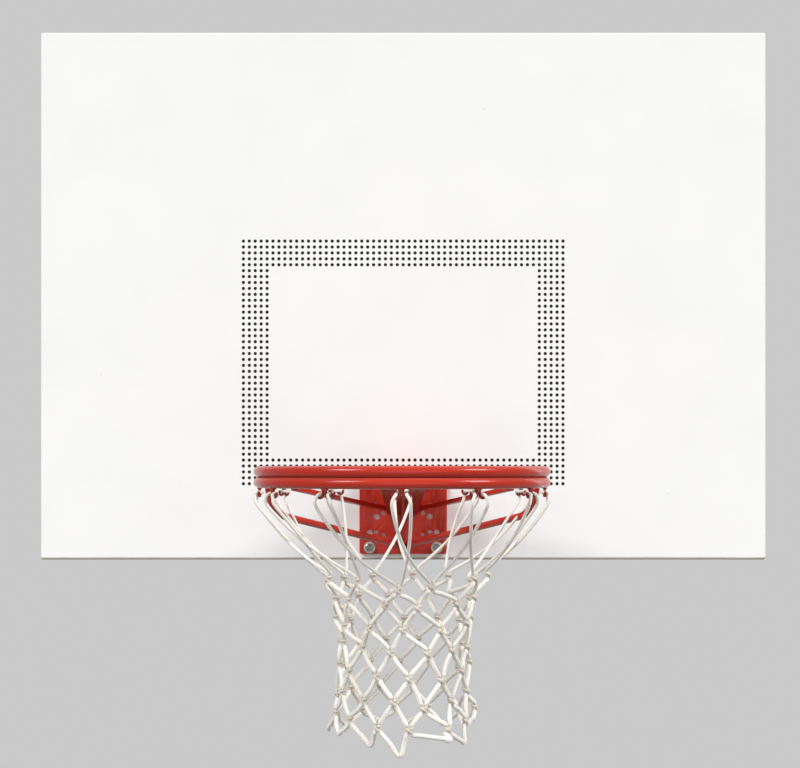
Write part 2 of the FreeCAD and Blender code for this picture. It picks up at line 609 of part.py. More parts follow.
def goal_fasteners():
    """Return the goal's bolts, washers, lock washers and nuts, four of each to a group."""
    plate_front = FACE_Y - GOAL_PLATE_THICKNESS
    head_back = plate_front - WASHER_THICKNESS
    rear_washer_back = STACK_BACK_Y + WASHER_THICKNESS
    nut_front = rear_washer_back + LOCK_WASHER_THICKNESS
    nut_back = nut_front + NUT_HEIGHT
    groups = {name: [] for name in ("goal_bolts", "goal_front_washers", "goal_rear_washers",
                                    "goal_lock_washers", "goal_nuts")}
    for x, z in GOAL_BOLT_PLACES:
        shank = rod_along_y(BOLT_DIAMETER, x, z, head_back, nut_back + BOLT_STICKOUT)
        head = hexagon_bar(BOLT_HEAD_FLATS, x, z, head_back - BOLT_HEAD_HEIGHT, head_back)
        nut = hexagon_bar(NUT_FLATS, x, z, nut_front, nut_back)
        nut = nut.cut(rod_along_y(NUT_BORE, x, z, nut_front - OVERRUN, nut_back + OVERRUN))
        spring = washer(LOCK_WASHER_DIAMETER, LOCK_WASHER_BORE, x, z, rear_washer_back, nut_front)
        slit = box(x - LOCK_WASHER_SLIT / 2, x + LOCK_WASHER_SLIT / 2, rear_washer_back - OVERRUN,
                   nut_front + OVERRUN, z, z + LOCK_WASHER_DIAMETER)
        front_washer = washer(WASHER_DIAMETER, WASHER_BORE, x, z, head_back, plate_front)
        rear_washer = washer(WASHER_DIAMETER, WASHER_BORE, x, z, STACK_BACK_Y, rear_washer_back)
        groups["goal_bolts"].append(head.fuse(shank).removeSplitter())
        groups["goal_front_washers"].append(front_washer)
        groups["goal_rear_washers"].append(rear_washer)
        groups["goal_lock_washers"].append(spring.cut(slit))
        groups["goal_nuts"].append(nut)
    return {name: Part.makeCompound(solids) for name, solids in groups.items()}


def build():
    """Return every piece of the backboard by node name."""
    upper_ring = ring(ROD_RADIUS)
    lower_ring = ring(-ROD_RADIUS)
    right_channel = mounting_channel()
    upper_cross_z = (TARGET_HIGH + FRAME_HALF_HEIGHT - FRAME_LEG) / 2
    right_upper_brace = upper_brace(lower_ring)
    right_lower_brace = lower_brace(lower_ring)
    pieces = {
        "face_sheet": face_sheet(),
        "right_mounting_channel": right_channel,
        "left_mounting_channel": mirrored(right_channel),
        "upper_cross_channel": cross_channel(upper_cross_z, SHEET_BACK_Y),
        "lower_cross_channel": cross_channel(sum(GOAL_BOLT_ROWS) / 2, STACK_BACK_Y),
        "target_backing_sheet": target_backing(),
        "goal_backing_plate": goal_backing_plate(),
        "goal_plate": goal_plate(),
        "upper_ring": upper_ring,
        "lower_ring": lower_ring,
        "right_upper_brace": right_upper_brace,
        "left_upper_brace": mirrored(right_upper_brace),
        "right_lower_brace": right_lower_brace,
        "left_lower_brace": mirrored(right_lower_brace),
    }
    pieces.update(edge_frame())
    pieces.update(neck_pieces((upper_ring, lower_ring)))
    pieces.update(goal_fasteners())
    for index, hook in enumerate(around(net_hook(lower_ring))):
        pieces["net_hook_%02d" % (index + 1)] = hook
    pieces.update(net_pieces())
    return pieces


def main():
    """Write one STEP file for each piece."""
    os.makedirs("parts", exist_ok=True)
    for name, shape in build().items():
        shape.exportStep("parts/%s.step" % name)
        print(name, len(shape.Solids), round(shape.Volume, 1), shape.isValid())


if __name__ == "__main__":
    main()
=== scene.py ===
"""Looks of a basketball backboard with its fixed goal and its net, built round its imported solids.

Metres, +Z up, the board faces -Y. Left and right are as seen from the front.
"""

import logging
import math
import random
from dataclasses import dataclass
from enum import Enum
from functools import partial
from typing import Callable, Dict, Iterable, List, Optional, Sequence, Tuple, Union

import bmesh
import bpy
import numpy as np
from mathutils import Matrix, Vector


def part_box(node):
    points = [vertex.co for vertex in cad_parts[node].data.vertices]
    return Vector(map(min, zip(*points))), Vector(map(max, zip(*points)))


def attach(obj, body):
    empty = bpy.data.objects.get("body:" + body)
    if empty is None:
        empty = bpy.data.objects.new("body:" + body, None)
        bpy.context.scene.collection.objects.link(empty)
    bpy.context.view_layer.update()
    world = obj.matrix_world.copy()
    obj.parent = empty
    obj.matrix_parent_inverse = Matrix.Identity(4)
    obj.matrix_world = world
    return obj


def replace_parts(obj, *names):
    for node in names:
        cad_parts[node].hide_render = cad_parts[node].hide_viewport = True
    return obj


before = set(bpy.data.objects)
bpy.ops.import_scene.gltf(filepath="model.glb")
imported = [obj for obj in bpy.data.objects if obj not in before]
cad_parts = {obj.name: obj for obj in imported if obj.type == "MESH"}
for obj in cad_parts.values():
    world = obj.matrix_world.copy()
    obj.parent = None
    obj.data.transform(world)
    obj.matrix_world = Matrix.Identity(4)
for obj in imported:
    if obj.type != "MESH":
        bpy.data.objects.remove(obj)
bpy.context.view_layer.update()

LOG = logging.getLogger("backboard")
MM = 0.001
FULL_TURN = 360.0
BODY = "root"
FACE_LOW_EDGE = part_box("face_sheet")[0].z

Colour = Tuple[float, float, float, float]
Feed = Union[bpy.types.NodeSocket, float, Sequence[float]]
Given = bpy.types.NodeOutputs
Results = Dict[str, bpy.types.NodeSocket]
Points = List[Vector]
Range = Tuple[float, float]
Spot = Tuple[float, float, float]
Size = Union[float, Callable[[float], float]]


class Slot(Enum):
    """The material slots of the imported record."""

    WHITE_PAINT = "white_paint"
    BLACK_PAINT = "black_paint"
    RED_PAINT = "red_paint"
    ZINC_STEEL = "zinc_steel"
    NET_CORD = "net_cord"


class Kind(Enum):
    """Pieces whose finish differs from the usual one of their slot."""

    HOOK = "hook"
    WASHER = "washer"


class Bench:
    """A node tree with short ways to add its nodes and wire them."""

    def __init__(self, tree: bpy.types.NodeTree) -> None:
        """Works on the given tree."""
        self.tree = tree

    def feed(self, socket: bpy.types.NodeSocket, feed: Feed) -> None:
        """Links a socket to another one, or sets its value.

        Args:
            socket: The input to feed.
            feed: An output socket, a number or a colour.
        """
        if isinstance(feed, bpy.types.NodeSocket):
            self.tree.links.new(feed, socket)
        else:
            socket.default_value = feed

    def add(self, kind: str, feeds: Optional[Dict] = None, **settings: object) -> bpy.types.Node:
        """Adds a node.

        Args:
            kind: The node's type name.
            feeds: What goes into its inputs, by name or number.
            settings: Values of the node's own properties.

        Returns:
            The new node.
        """
        node = self.tree.nodes.new(kind)
        for name, value in settings.items():
            setattr(node, name, value)
        for name, feed in (feeds or {}).items():
            self.feed(node.inputs[name], feed)
        return node

    def math(self, operation: str, *feeds: Feed) -> bpy.types.NodeSocket:
        """Returns the output of a math node."""
        return self.add("ShaderNodeMath", dict(enumerate(feeds)), operation=operation).outputs[0]

    def times(self, first: Feed, second: Feed) -> bpy.types.NodeSocket:
        """Returns one value times another."""
        return self.math("MULTIPLY", first, second)

    def step(self, value: Feed, low: Feed, high: Feed) -> bpy.types.NodeSocket:
        """Returns a smooth step from 0 at low to 1 at high."""
        feeds = {"Value": value, "From Min": low, "From Max": high}
        return self.add("ShaderNodeMapRange", feeds, interpolation_type="SMOOTHSTEP").outputs[0]

    def span(self, value: Feed, low: Feed, high: Feed) -> bpy.types.NodeSocket:
        """Returns a value of 0 to 1 spread between low and high."""
        return self.add("ShaderNodeMapRange", {"Value": value, "To Min": low, "To Max": high}).outputs[0]

    def blend(self, factor: Feed, first: Feed, second: Feed) -> bpy.types.NodeSocket:
        """Returns a colour between two others."""
        return self.add("ShaderNodeMix", {0: factor, 6: first, 7: second}, data_type="RGBA").outputs[2]

    def bump(self, height: Feed, depth: float) -> bpy.types.NodeSocket:
        """Returns the normal of a surface with a relief of so many metres."""
        feeds = {"Height": height, "Strength": 1.0, "Distance": depth}
        return self.add("ShaderNodeBump", feeds).outputs[0]

    def place(self) -> bpy.types.NodeSocket:
        """Returns the point in the piece's own frame, in metres."""
        return self.add("ShaderNodeTexCoord").outputs["Object"]

    def noise(self, waves: Feed, detail: float) -> bpy.types.NodeSocket:
        """Returns a noise of so many waves a metre."""
        feeds = {"Vector": self.place(), "Scale": waves, "Detail": detail}
        return self.add("ShaderNodeTexNoise", feeds).outputs[0]

    def upward(self) -> bpy.types.NodeSocket:
        """Returns how far the surface faces up, from -1 to 1."""
        normal = self.add("ShaderNodeNewGeometry").outputs["Normal"]
        return self.add("ShaderNodeSeparateXYZ", {0: normal}).outputs["Z"]

    def effect(self, effect: "Effect", **values: Feed) -> bpy.types.Node:
        """Returns the node of a shared effect, with values for its inputs by name."""
        return self.add("ShaderNodeGroup", values, node_tree=effect.group())


def orange_peel(bench: Bench, given: Given) -> Results:
    """Adds the soft ripple of baked paint and a slow change of its gloss.

    Args:
        bench: The group's tree.
        given: The group's inputs.

    Returns:
        The ripple's height and the gloss.
    """
    slow_share = 0.02
    fine = bench.noise(given["Waves"], detail=1.5)
    slow = bench.noise(bench.times(given["Waves"], slow_share), detail=3.0)
    return {"Height": fine, "Gloss": slow}


def edge_wear(bench: Bench, given: Given) -> Results:
    """Compares the plain normal with one rounded over the edges, broken up by noise.

    Args:
        bench: The group's tree.
        given: The group's inputs.

    Returns:
        A mask of the worn edges.
    """
    rounded = bench.add("ShaderNodeBevel", {"Radius": given["Width"]}, samples=6).outputs[0]
    plain = bench.add("ShaderNodeNewGeometry").outputs["Normal"]
    turn = bench.add("ShaderNodeVectorMath", {0: rounded, 1: plain}, operation="DOT_PRODUCT")
    edge = bench.step(turn.outputs["Value"], low=0.995, high=0.86)
    broken = bench.step(bench.noise(waves=160.0, detail=4.0), low=given["Threshold"], high=0.78)
    return {"Mask": bench.times(edge, broken)}


def dust_and_underside_shade(bench: Bench, given: Given) -> Results:
    """Weighs the facing direction by an uneven layer.

    Args:
        bench: The group's tree.
        given: The group's inputs.

    Returns:
        Masks of dust on the upper faces and of painted shade on the lower ones.
    """
    layer = bench.span(bench.noise(waves=22.0, detail=4.0), low=0.45, high=1.0)
    up = bench.times(bench.step(bench.upward(), low=0.35, high=0.95), layer)
    # Painted shade: faces that face down are darkened as if in shade.
    down = bench.times(bench.step(bench.upward(), low=-0.2, high=-0.85), layer)
    return {"Dust": bench.times(up, given["Dust"]), "Grime": bench.times(down, given["Grime"])}


def specks(bench: Bench, given: Given) -> Results:
    """Keeps a small spot in some cells.

    Args:
        bench: The group's tree.
        given: The group's inputs.

    Returns:
        A mask of the scattered specks.
    """
    cells = bench.add("ShaderNodeTexVoronoi", {"Vector": bench.place(), "Scale": given["Cells"]})
    spot = bench.step(cells.outputs["Distance"], low=given["Size"], high=0.0)
    pick = bench.add("ShaderNodeSeparateColor", {0: cells.outputs["Color"]}).outputs[0]
    return {"Mask": bench.times(spot, bench.math("LESS_THAN", pick, given["Share"]))}


def lowest_edge_shade(bench: Bench, given: Given) -> Results:
    """Fades painted shade along a lowest edge upward from a level, unevenly along the edge.

    Args:
        bench: The group's tree.
        given: The group's inputs.

    Returns:
        A mask of the painted shade.
    """
    full_share = 0.45
    height = bench.add("ShaderNodeSeparateXYZ", {0: bench.place()}).outputs["Z"]
    above = bench.math("SUBTRACT", height, given["Level"])
    waver = bench.span(bench.noise(waves=9.0, detail=4.0), low=0.55, high=1.35)
    depth = bench.times(given["Depth"], waver)
    return {"Mask": bench.step(above, low=depth, high=bench.times(depth, full_share))}


def round_braid(bench: Bench, given: Given) -> Results:
    """Crosses two families of plaits that pass over each other in turn.

    Args:
        bench: The group's tree.
        given: The group's inputs.

    Returns:
        The height of the braid and a mask of painted shade in its furrows.
    """
    run = bench.math("DIVIDE", given["Along"], given["Pitch"])
    turn = bench.times(given["Around"], given["Plaits"])
    sides = (bench.math("ADD", run, turn), bench.math("SUBTRACT", run, turn))
    crowns = [bench.math("SINE", bench.times(bench.math("FRACT", side), math.pi)) for side in sides]
    cells = bench.math("ADD", *[bench.math("FLOOR", side) for side in sides])
    over = bench.math("FLOORED_MODULO", cells, 2.0)
    heights = [bench.times(crowns[k], bench.span(crowns[1 - k], low=0.55, high=1.0)) for k in (0, 1)]
    change = bench.times(over, bench.math("SUBTRACT", heights[1], heights[0]))
    height = bench.math("ADD", heights[0], change)
    return {"Height": height, "FurrowShade": bench.step(height, low=0.5, high=0.05)}


class Effect(Enum):
    """The effects that materials share, each with its recipe and its inputs' usual values."""

    ORANGE_PEEL = (orange_peel, {"Waves": 400.0})
    EDGE_WEAR = (edge_wear, {"Width": 1.5 * MM, "Threshold": 0.55})
    DUST_AND_UNDERSIDE_SHADE = (dust_and_underside_shade, {"Dust": 0.2, "Grime": 0.3})
    SPECKS = (specks, {"Cells": 60.0, "Size": 0.12, "Share": 0.1})
    LOWEST_EDGE_SHADE = (lowest_edge_shade, {"Level": 0.0, "Depth": 5.0 * MM})
    ROUND_BRAID = (round_braid, {"Along": 0.0, "Around": 0.0, "Pitch": 4.0 * MM, "Plaits": 6.0})

    def group(self) -> bpy.types.NodeTree:
        """Builds the effect as a shader node group, or finds the one built before.

        Returns:
            The node group.
        """
        recipe, inputs = self.value
        tree = bpy.data.node_groups.get(recipe.__name__)
        if tree is not None:
            return tree
        tree = bpy.data.node_groups.new(recipe.__name__, "ShaderNodeTree")
        for label, value in inputs.items():
            socket = tree.interface.new_socket(name=label, in_out="INPUT", socket_type="NodeSocketFloat")
            socket.default_value = value
        bench = Bench(tree)
        results = recipe(bench, bench.add("NodeGroupInput").outputs)
        for label in results:
            tree.interface.new_socket(name=label, in_out="OUTPUT", socket_type="NodeSocketFloat")
        bench.add("NodeGroupOutput", results)
        return tree


def new_material(name: str) -> Tuple[bpy.types.Material, Bench, bpy.types.Node]:
    """Makes an empty node material.

    Args:
        name: Its name.

    Returns:
        The material, its bench and its principled shader.
    """
    material = bpy.data.materials.new(name)
    material.use_nodes = True
    material.node_tree.nodes.clear()
    bench = Bench(material.node_tree)
    shader = bench.add("ShaderNodeBsdfPrincipled")
    bench.add("ShaderNodeOutputMaterial", {"Surface": shader.outputs[0]})
    return material, bench, shader


@dataclass(frozen=True)
class PaintFinish:
    """A baked paint on steel with dust, specks and wear, and painted shade on lower faces and a low edge.
    """

    name: str
    colour: Colour
    deep_colour: Colour
    worn_colour: Colour
    roughness: float
    specular: float
    coat: float
    peel_waves: float
    peel_depth: float
    wear_threshold: float
    dust: float
    underside_shade: float
    speck_share: float
    edge_shade_depth: float = 0.0
    dust_colour: Colour = (0.62, 0.59, 0.53, 1.0)
    # The dark brown of the painted shade on the faces that face down, and of the specks.
    shade_and_speck_colour: Colour = (0.25, 0.2, 0.14, 1.0)
    edge_shade_colour: Colour = (0.4, 0.36, 0.28, 1.0)
    cloud_waves: float = 7.0
    speck_cells: float = 26.0
    speck_size: float = 0.05
    speck_strength: float = 0.45
    gloss_swing: float = 0.18
    dust_dulling: float = 0.35
    wear_dulling: float = 0.2
    coat_roughness: float = 0.12

    def material(self) -> bpy.types.Material:
        """Makes the node material.

        Returns:
            The material.
        """
        material, bench, shader = new_material(self.name)
        peel = bench.effect(Effect.ORANGE_PEEL, Waves=self.peel_waves).outputs
        worn = bench.effect(Effect.EDGE_WEAR, Threshold=self.wear_threshold).outputs["Mask"]
        layers = bench.effect(Effect.DUST_AND_UNDERSIDE_SHADE, Dust=self.dust, Grime=self.underside_shade).outputs
        spots = bench.effect(Effect.SPECKS, Cells=self.speck_cells, Size=self.speck_size,
                             Share=self.speck_share).outputs["Mask"]
        cloud = bench.step(bench.noise(self.cloud_waves, detail=3.0), low=0.25, high=0.75)
        colour = bench.blend(cloud, self.colour, self.deep_colour)
        colour = bench.blend(layers["Dust"], colour, self.dust_colour)
        # Painted shade: the faces that face down take the dark brown, as do the specks below.
        colour = bench.blend(layers["Grime"], colour, self.shade_and_speck_colour)
        colour = bench.blend(bench.times(spots, self.speck_strength), colour, self.shade_and_speck_colour)
        # Painted shade along the lowest edge, where a depth is given.
        if self.edge_shade_depth:
            line = bench.effect(Effect.LOWEST_EDGE_SHADE, Level=FACE_LOW_EDGE, Depth=self.edge_shade_depth)
            colour = bench.blend(line.outputs["Mask"], colour, self.edge_shade_colour)
        bench.feed(shader.inputs["Base Color"], bench.blend(worn, colour, self.worn_colour))
        low, high = [self.roughness * (1 + swing) for swing in (-self.gloss_swing, self.gloss_swing)]
        rough = bench.span(peel["Gloss"], low, high)
        rough = bench.math("ADD", rough, bench.times(layers["Dust"], self.dust_dulling))
        rough = bench.math("ADD", rough, bench.times(worn, self.wear_dulling))
        bench.feed(shader.inputs["Roughness"], rough)
        bench.feed(shader.inputs["Normal"], bench.bump(peel["Height"], self.peel_depth))
        shader.inputs["Specular IOR Level"].default_value = self.specular
        shader.inputs["Coat Weight"].default_value = self.coat
        shader.inputs["Coat Roughness"].default_value = self.coat_roughness
        return material


@dataclass(frozen=True)
class PlatedFinish:
    """Zinc-plated steel, clouded and a little stained, bright where its edges are worn."""

    name: str
    colour: Colour
    stain_colour: Colour
    roughness: float
    bright_colour: Colour = (0.7, 0.7, 0.68, 1.0)
    cloud_waves: float = 180.0
    dust: float = 0.15
    dust_dulling: float = 0.5
    wear_width: float = 0.6 * MM
    wear_threshold: float = 0.4
    smooth_share: float = 0.8
    dull_share: float = 1.25
    grain_waves: float = 2600.0
    grain_depth: float = 0.02 * MM

    def material(self) -> bpy.types.Material:
        """Makes the node material.

        Returns:
            The material.
        """
        material, bench, shader = new_material(self.name)
        cloud = bench.step(bench.noise(self.cloud_waves, detail=4.0), low=0.3, high=0.75)
        dust = bench.effect(Effect.DUST_AND_UNDERSIDE_SHADE, Dust=self.dust).outputs["Dust"]
        worn = bench.effect(Effect.EDGE_WEAR, Width=self.wear_width, Threshold=self.wear_threshold)
        colour = bench.blend(cloud, self.colour, self.stain_colour)
        colour = bench.blend(worn.outputs["Mask"], colour, self.bright_colour)
        bench.feed(shader.inputs["Base Color"], colour)
        low, high = [self.roughness * share for share in (self.smooth_share, self.dull_share)]
        rough = bench.math("ADD", bench.span(cloud, low, high), bench.times(dust, self.dust_dulling))
        bench.feed(shader.inputs["Roughness"], rough)
        grain = bench.noise(self.grain_waves, detail=2.0)
        bench.feed(shader.inputs["Normal"], bench.bump(grain, self.grain_depth))
        shader.inputs["Metallic"].default_value = 1.0
        return material


@dataclass(frozen=True)
class CordFinish:
    """Off-white braided nylon, with painted shade in its furrows, and painted shade and soil in its knots.
    """

    name: str
    colour: Colour
    shade_colour: Colour
    furrow_shade_colour: Colour
    shade_and_soil_colour: Colour
    shade_and_soil: float
    pitch: float
    plaits: int
    depth: float
    glow: float
    glow_depth: float
    glow_shares: Spot = (1.0, 0.85, 0.62)
    cloud_waves: float = 28.0
    furrow_shade_strength: float = 0.75
    shade_and_soil_waves: float = 240.0
    shade_and_soil_least_share: float = 0.35
    fibre_waves: float = 5200.0
    fibre_share: float = 0.25
    roughness: Range = (0.62, 0.78)
    sheen: float = 0.45
    uv_name: str = "cord_run"
    shade_and_soil_name: str = "knot_shade_and_soil"

    def material(self) -> bpy.types.Material:
        """Makes the node material from the mesh's cord run and turn and its knots' painted shade and soil.

        Returns:
            The material.
        """
        material, bench, shader = new_material(self.name)
        run = bench.add("ShaderNodeUVMap", uv_map=self.uv_name).outputs[0]
        split = bench.add("ShaderNodeSeparateXYZ", {0: run}).outputs
        braid = bench.effect(Effect.ROUND_BRAID, Along=split["X"], Around=split["Y"],
                             Pitch=self.pitch, Plaits=float(self.plaits)).outputs
        cloud = bench.step(bench.noise(self.cloud_waves, detail=4.0), low=0.3, high=0.72)
        colour = bench.blend(cloud, self.colour, self.shade_colour)
        # Painted shade in the braid's furrows.
        furrow_shade = bench.times(braid["FurrowShade"], self.furrow_shade_strength)
        colour = bench.blend(furrow_shade, colour, self.furrow_shade_colour)
        # Painted shade, with some soil, tints the knots tan where the mesh marks them.
        knotted = bench.add("ShaderNodeAttribute", attribute_name=self.shade_and_soil_name).outputs["Fac"]
        patchy = bench.noise(self.shade_and_soil_waves, detail=3.0)
        patchy = bench.span(patchy, self.shade_and_soil_least_share * self.shade_and_soil, self.shade_and_soil)
        colour = bench.blend(bench.times(knotted, patchy), colour, self.shade_and_soil_colour)
        bench.feed(shader.inputs["Base Color"], colour)
        fibre = bench.times(bench.noise(self.fibre_waves, detail=2.0), self.fibre_share)
        relief = bench.math("ADD", braid["Height"], fibre)
        bench.feed(shader.inputs["Normal"], bench.bump(relief, self.depth))
        bench.feed(shader.inputs["Roughness"], bench.span(cloud, *self.roughness))
        shader.inputs["Sheen Weight"].default_value = self.sheen
        shader.inputs["Subsurface Weight"].default_value = self.glow
        shader.inputs["Subsurface Scale"].default_value = self.glow_depth
        shader.inputs["Subsurface Radius"].default_value = self.glow_shares
        return material


Finish = Union[PaintFinish, PlatedFinish, CordFinish]


class Finishes:
    """The materials of the part, one for each slot or kind, made when first asked for."""

    recipes = {
        Slot.WHITE_PAINT: PaintFinish(
            "white_powder_coat", (0.9, 0.9, 0.885, 1), (0.872, 0.874, 0.862, 1), (0.42, 0.4, 0.37, 1),
            roughness=0.58, specular=0.1, coat=0.0, peel_waves=420.0, peel_depth=0.06 * MM,
            wear_threshold=0.62, dust=0.3, underside_shade=0.85, speck_share=0.16, edge_shade_depth=6.0 * MM),
        Slot.RED_PAINT: PaintFinish(
            "red_gloss_paint", (0.5, 0.0285, 0.013, 1), (0.46, 0.024, 0.011, 1), (0.2, 0.05, 0.035, 1),
            roughness=0.24, specular=0.2, coat=0.1, peel_waves=520.0, peel_depth=0.05 * MM,
            wear_threshold=0.6, dust=0.1, underside_shade=0.25, speck_share=0.05),
        Slot.BLACK_PAINT: PaintFinish(
            "matt_black_paint", (0.012, 0.012, 0.013, 1), (0.018, 0.018, 0.018, 1), (0.1, 0.1, 0.1, 1),
            roughness=0.68, specular=0.4, coat=0.0, peel_waves=700.0, peel_depth=0.05 * MM,
            wear_threshold=0.6, dust=0.1, underside_shade=0.0, speck_share=0.08),
        Slot.ZINC_STEEL: PlatedFinish(
            "zinc_plate", (0.2, 0.2, 0.195, 1), (0.13, 0.12, 0.1, 1), roughness=0.3),
        Slot.NET_CORD: CordFinish(
            "braided_nylon", (0.935, 0.92, 0.875, 1), (0.905, 0.88, 0.82, 1), (0.68, 0.59, 0.46, 1),
            (0.46, 0.38, 0.27, 1), shade_and_soil=0.75, pitch=4.2 * MM, plaits=5, depth=0.4 * MM,
            glow=0.6, glow_depth=5.0 * MM),
    }
    kinds = {
        # The hooks' red is darker: partly painted shade from the ring above them, partly worn, handled
        # paint.
        Kind.HOOK: PaintFinish(
            "shaded_worn_red_paint", (0.27, 0.02, 0.011, 1), (0.2, 0.017, 0.01, 1), (0.14, 0.06, 0.035, 1),
            roughness=0.36, specular=0.2, coat=0.0, peel_waves=520.0, peel_depth=0.05 * MM,
            wear_threshold=0.45, dust=0.1, underside_shade=0.4, speck_share=0.1),
        Kind.WASHER: PlatedFinish(
            "bright_zinc_plate", (0.44, 0.43, 0.4, 1), (0.31, 0.29, 0.25, 1), roughness=0.36),
    }

    def __init__(self) -> None:
        """Starts with no material made."""
        self.made: Dict[Finish, bpy.types.Material] = {}

    def get(self, slot: Slot, kind: Optional[Kind] = None) -> bpy.types.Material:
        """Finds a material, or makes it.

        Args:
            slot: The slot.
            kind: The kind, where it has a finish of its own.

        Returns:
            The material.
        """
        finish = self.kinds[kind] if kind else self.recipes[slot]
        if finish not in self.made:
            self.made[finish] = finish.material()
        return self.made[finish]

    def dress(self, piece: bpy.types.Object, slot: Slot, kind: Optional[Kind] = None) -> None:
        """Gives a piece the one material of a slot or kind."""
        piece.data.materials.clear()
        piece.data.materials.append(self.get(slot, kind))

    def dress_node(self, name: str, kind: Optional[Kind] = None) -> None:
        """Gives a CAD node the material of the slot that the record names for it.

        Args:
            name: The node.
            kind: Its kind, where it has a finish of its own.
        """
        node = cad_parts[name]
        self.dress(node, Slot(node.data.materials[0].name), kind)
        LOG.info("kept %s", name)


def mesh_piece(mesh: bpy.types.Mesh, name: str, slot: Slot, finishes: Finishes,
               sharp_degrees: float, kind: Optional[Kind] = None) -> bpy.types.Object:
    """Makes a piece from a finished mesh.

    Args:
        mesh: The mesh, in place.
        name: The piece's name.
        slot: Its material slot.
        finishes: The materials.
        sharp_degrees: Edges that turn more than this stay sharp.
        kind: Its kind, where it has a finish of its own.

    Returns:
        The new object, dressed and riding with the part.
    """
    mesh.validate()
    mesh.shade_smooth()
    mesh.set_sharp_from_angle(angle=math.radians(sharp_degrees))
    piece = bpy.data.objects.new(name, mesh)
    bpy.context.scene.collection.objects.link(piece)
    finishes.dress(piece, slot, kind)
    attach(piece, BODY)
    LOG.info("built %s with %d faces", name, len(mesh.polygons))
    return piece


class Draft:
    """Vertices and faces on their way to one mesh."""

    def __init__(self) -> None:
        """Starts empty."""
        self.vertices: List[Spot] = []
        self.faces: List[Tuple[int, ...]] = []

    def rings(self, rings: Sequence[Sequence[Vector]], close: bool = False) -> None:
        """Adds a skin over a row of rings with as many points each.

        Args:
            rings: The rings in order, each anticlockwise seen from the last one.
            close: Whether the last ring joins the first. If not, both end rings are filled.
        """
        base = len(self.vertices)
        count = len(rings[0])
        for ring in rings:
            self.vertices.extend(tuple(point) for point in ring)
        for row in range(len(rings) if close else len(rings) - 1):
            here = base + row * count
            there = base + (row + 1) % len(rings) * count
            for side in range(count):
                after = (side + 1) % count
                self.faces.append((here + side, here + after, there + after, there + side))
        if not close:
            last = base + (len(rings) - 1) * count
            self.faces.append(tuple(range(base + count - 1, base - 1, -1)))
            self.faces.append(tuple(range(last, last + count)))

    def piece(self, name: str, slot: Slot, finishes: Finishes,
              sharp_degrees: float = 40.0) -> bpy.types.Object:
        """Makes the piece, which rides with the part.

        Args:
            name: The piece's name.
            slot: Its material slot.
            finishes: The materials.
            sharp_degrees: Edges that turn more than this stay sharp.

        Returns:
            The new object.
        """
        mesh = bpy.data.meshes.new(name)
        mesh.from_pydata(self.vertices, [], self.faces)
        return mesh_piece(mesh, name, slot, finishes, sharp_degrees)


@dataclass(frozen=True)
class Rounding:
    """How the sharp edges of a CAD node are rounded on the piece that stands for it.

    The width is how far from the edge the rounding starts. Faces that turn less than the flat angle
    become one face first, and edges that turn more than the edge angle are rounded.
    """

    width: float
    steps: int = 2
    merge_distance: float = 0.001 * MM
    flat_degrees: float = 0.6
    edge_degrees: float = 38.0
    sharp_degrees: float = 32.0

    def copy(self, node_name: str, finishes: Finishes, kind: Optional[Kind] = None) -> None:
        """Makes the rounded piece, which replaces the node.

        Args:
            node_name: The CAD node.
            finishes: The materials.
            kind: Its kind, where it has a finish of its own.
        """
        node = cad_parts[node_name]
        work = bmesh.new()
        work.from_mesh(node.data)
        bmesh.ops.remove_doubles(work, verts=work.verts, dist=self.merge_distance)
        flat, limit = math.radians(self.flat_degrees), math.radians(self.edge_degrees)
        bmesh.ops.dissolve_limit(work, angle_limit=flat, verts=work.verts, edges=work.edges)
        edges = [edge for edge in work.edges if edge.is_manifold and edge.calc_face_angle() > limit]
        bmesh.ops.bevel(work, geom=edges, offset=self.width, offset_type="OFFSET", segments=self.steps,
                        profile=0.5, affect="EDGES", clamp_overlap=True)
        bmesh.ops.recalc_face_normals(work, faces=work.faces)
        name = node_name + "_rounded"
        mesh = bpy.data.meshes.new(name)
        work.to_mesh(mesh)
        work.free()
        slot = Slot(node.data.materials[0].name)
        piece = mesh_piece(mesh, name, slot, finishes, self.sharp_degrees, kind)
        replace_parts(piece, node_name)


def circle_frame(along: Vector) -> Tuple[Vector, Vector]:
    """Finds the directions of a circle round a line.

    Args:
        along: The line's direction.

    Returns:
        Two directions square to it and to each other.
    """
    steep = 0.9
    along = along.normalized()
    helper = Vector((0, 0, 1)) if abs(along.z) < steep else Vector((1, 0, 0))
    first = along.cross(helper).normalized()
    return first, along.cross(first)


@dataclass(frozen=True)
class WeldBead:
    """A run of weld with its ripples, half sunk in the corner it fills."""

    radius: float = 2.6 * MM
    ripple_pitch: float = 2.4 * MM
    ripple: float = 0.14
    ripple_bow: float = 0.25
    blunt_end: float = 0.08
    sides: int = 12
    step: float = 0.6 * MM
    least_rings: int = 6

    def lay(self, draft: Draft, path: Sequence[Vector]) -> None:
        """Adds a bead along an open path.

        Args:
            draft: Takes the faces.
            path: Points of the run, straight between them.
        """
        lengths = [(b - a).length for a, b in zip(path, path[1:])]
        total = sum(lengths)
        count = max(self.least_rings, round(total / self.step))
        rings = []
        for index in range(count + 1):
            distance = total * index / count
            left = distance
            leg = 0
            while leg < len(lengths) - 1 and left > lengths[leg]:
                left -= lengths[leg]
                leg += 1
            along = (path[leg + 1] - path[leg]).normalized()
            centre = path[leg] + along * left
            first, second = circle_frame(along)
            end = min(distance, total - distance) / self.radius + self.blunt_end
            swell = math.sqrt(1 - (1 - min(1.0, end)) ** 2)
            ring = []
            for side in range(self.sides):
                angle = 2 * math.pi * side / self.sides
                phase = distance / self.ripple_pitch + self.ripple_bow * math.cos(angle)
                wave = abs(math.sin(math.pi * phase)) - 0.5
                size = self.radius * swell * (1 + self.ripple * wave)
                ring.append(centre + first * (size * math.cos(angle)) + second * (size * math.sin(angle)))
            rings.append(ring)
        draft.rings(rings)


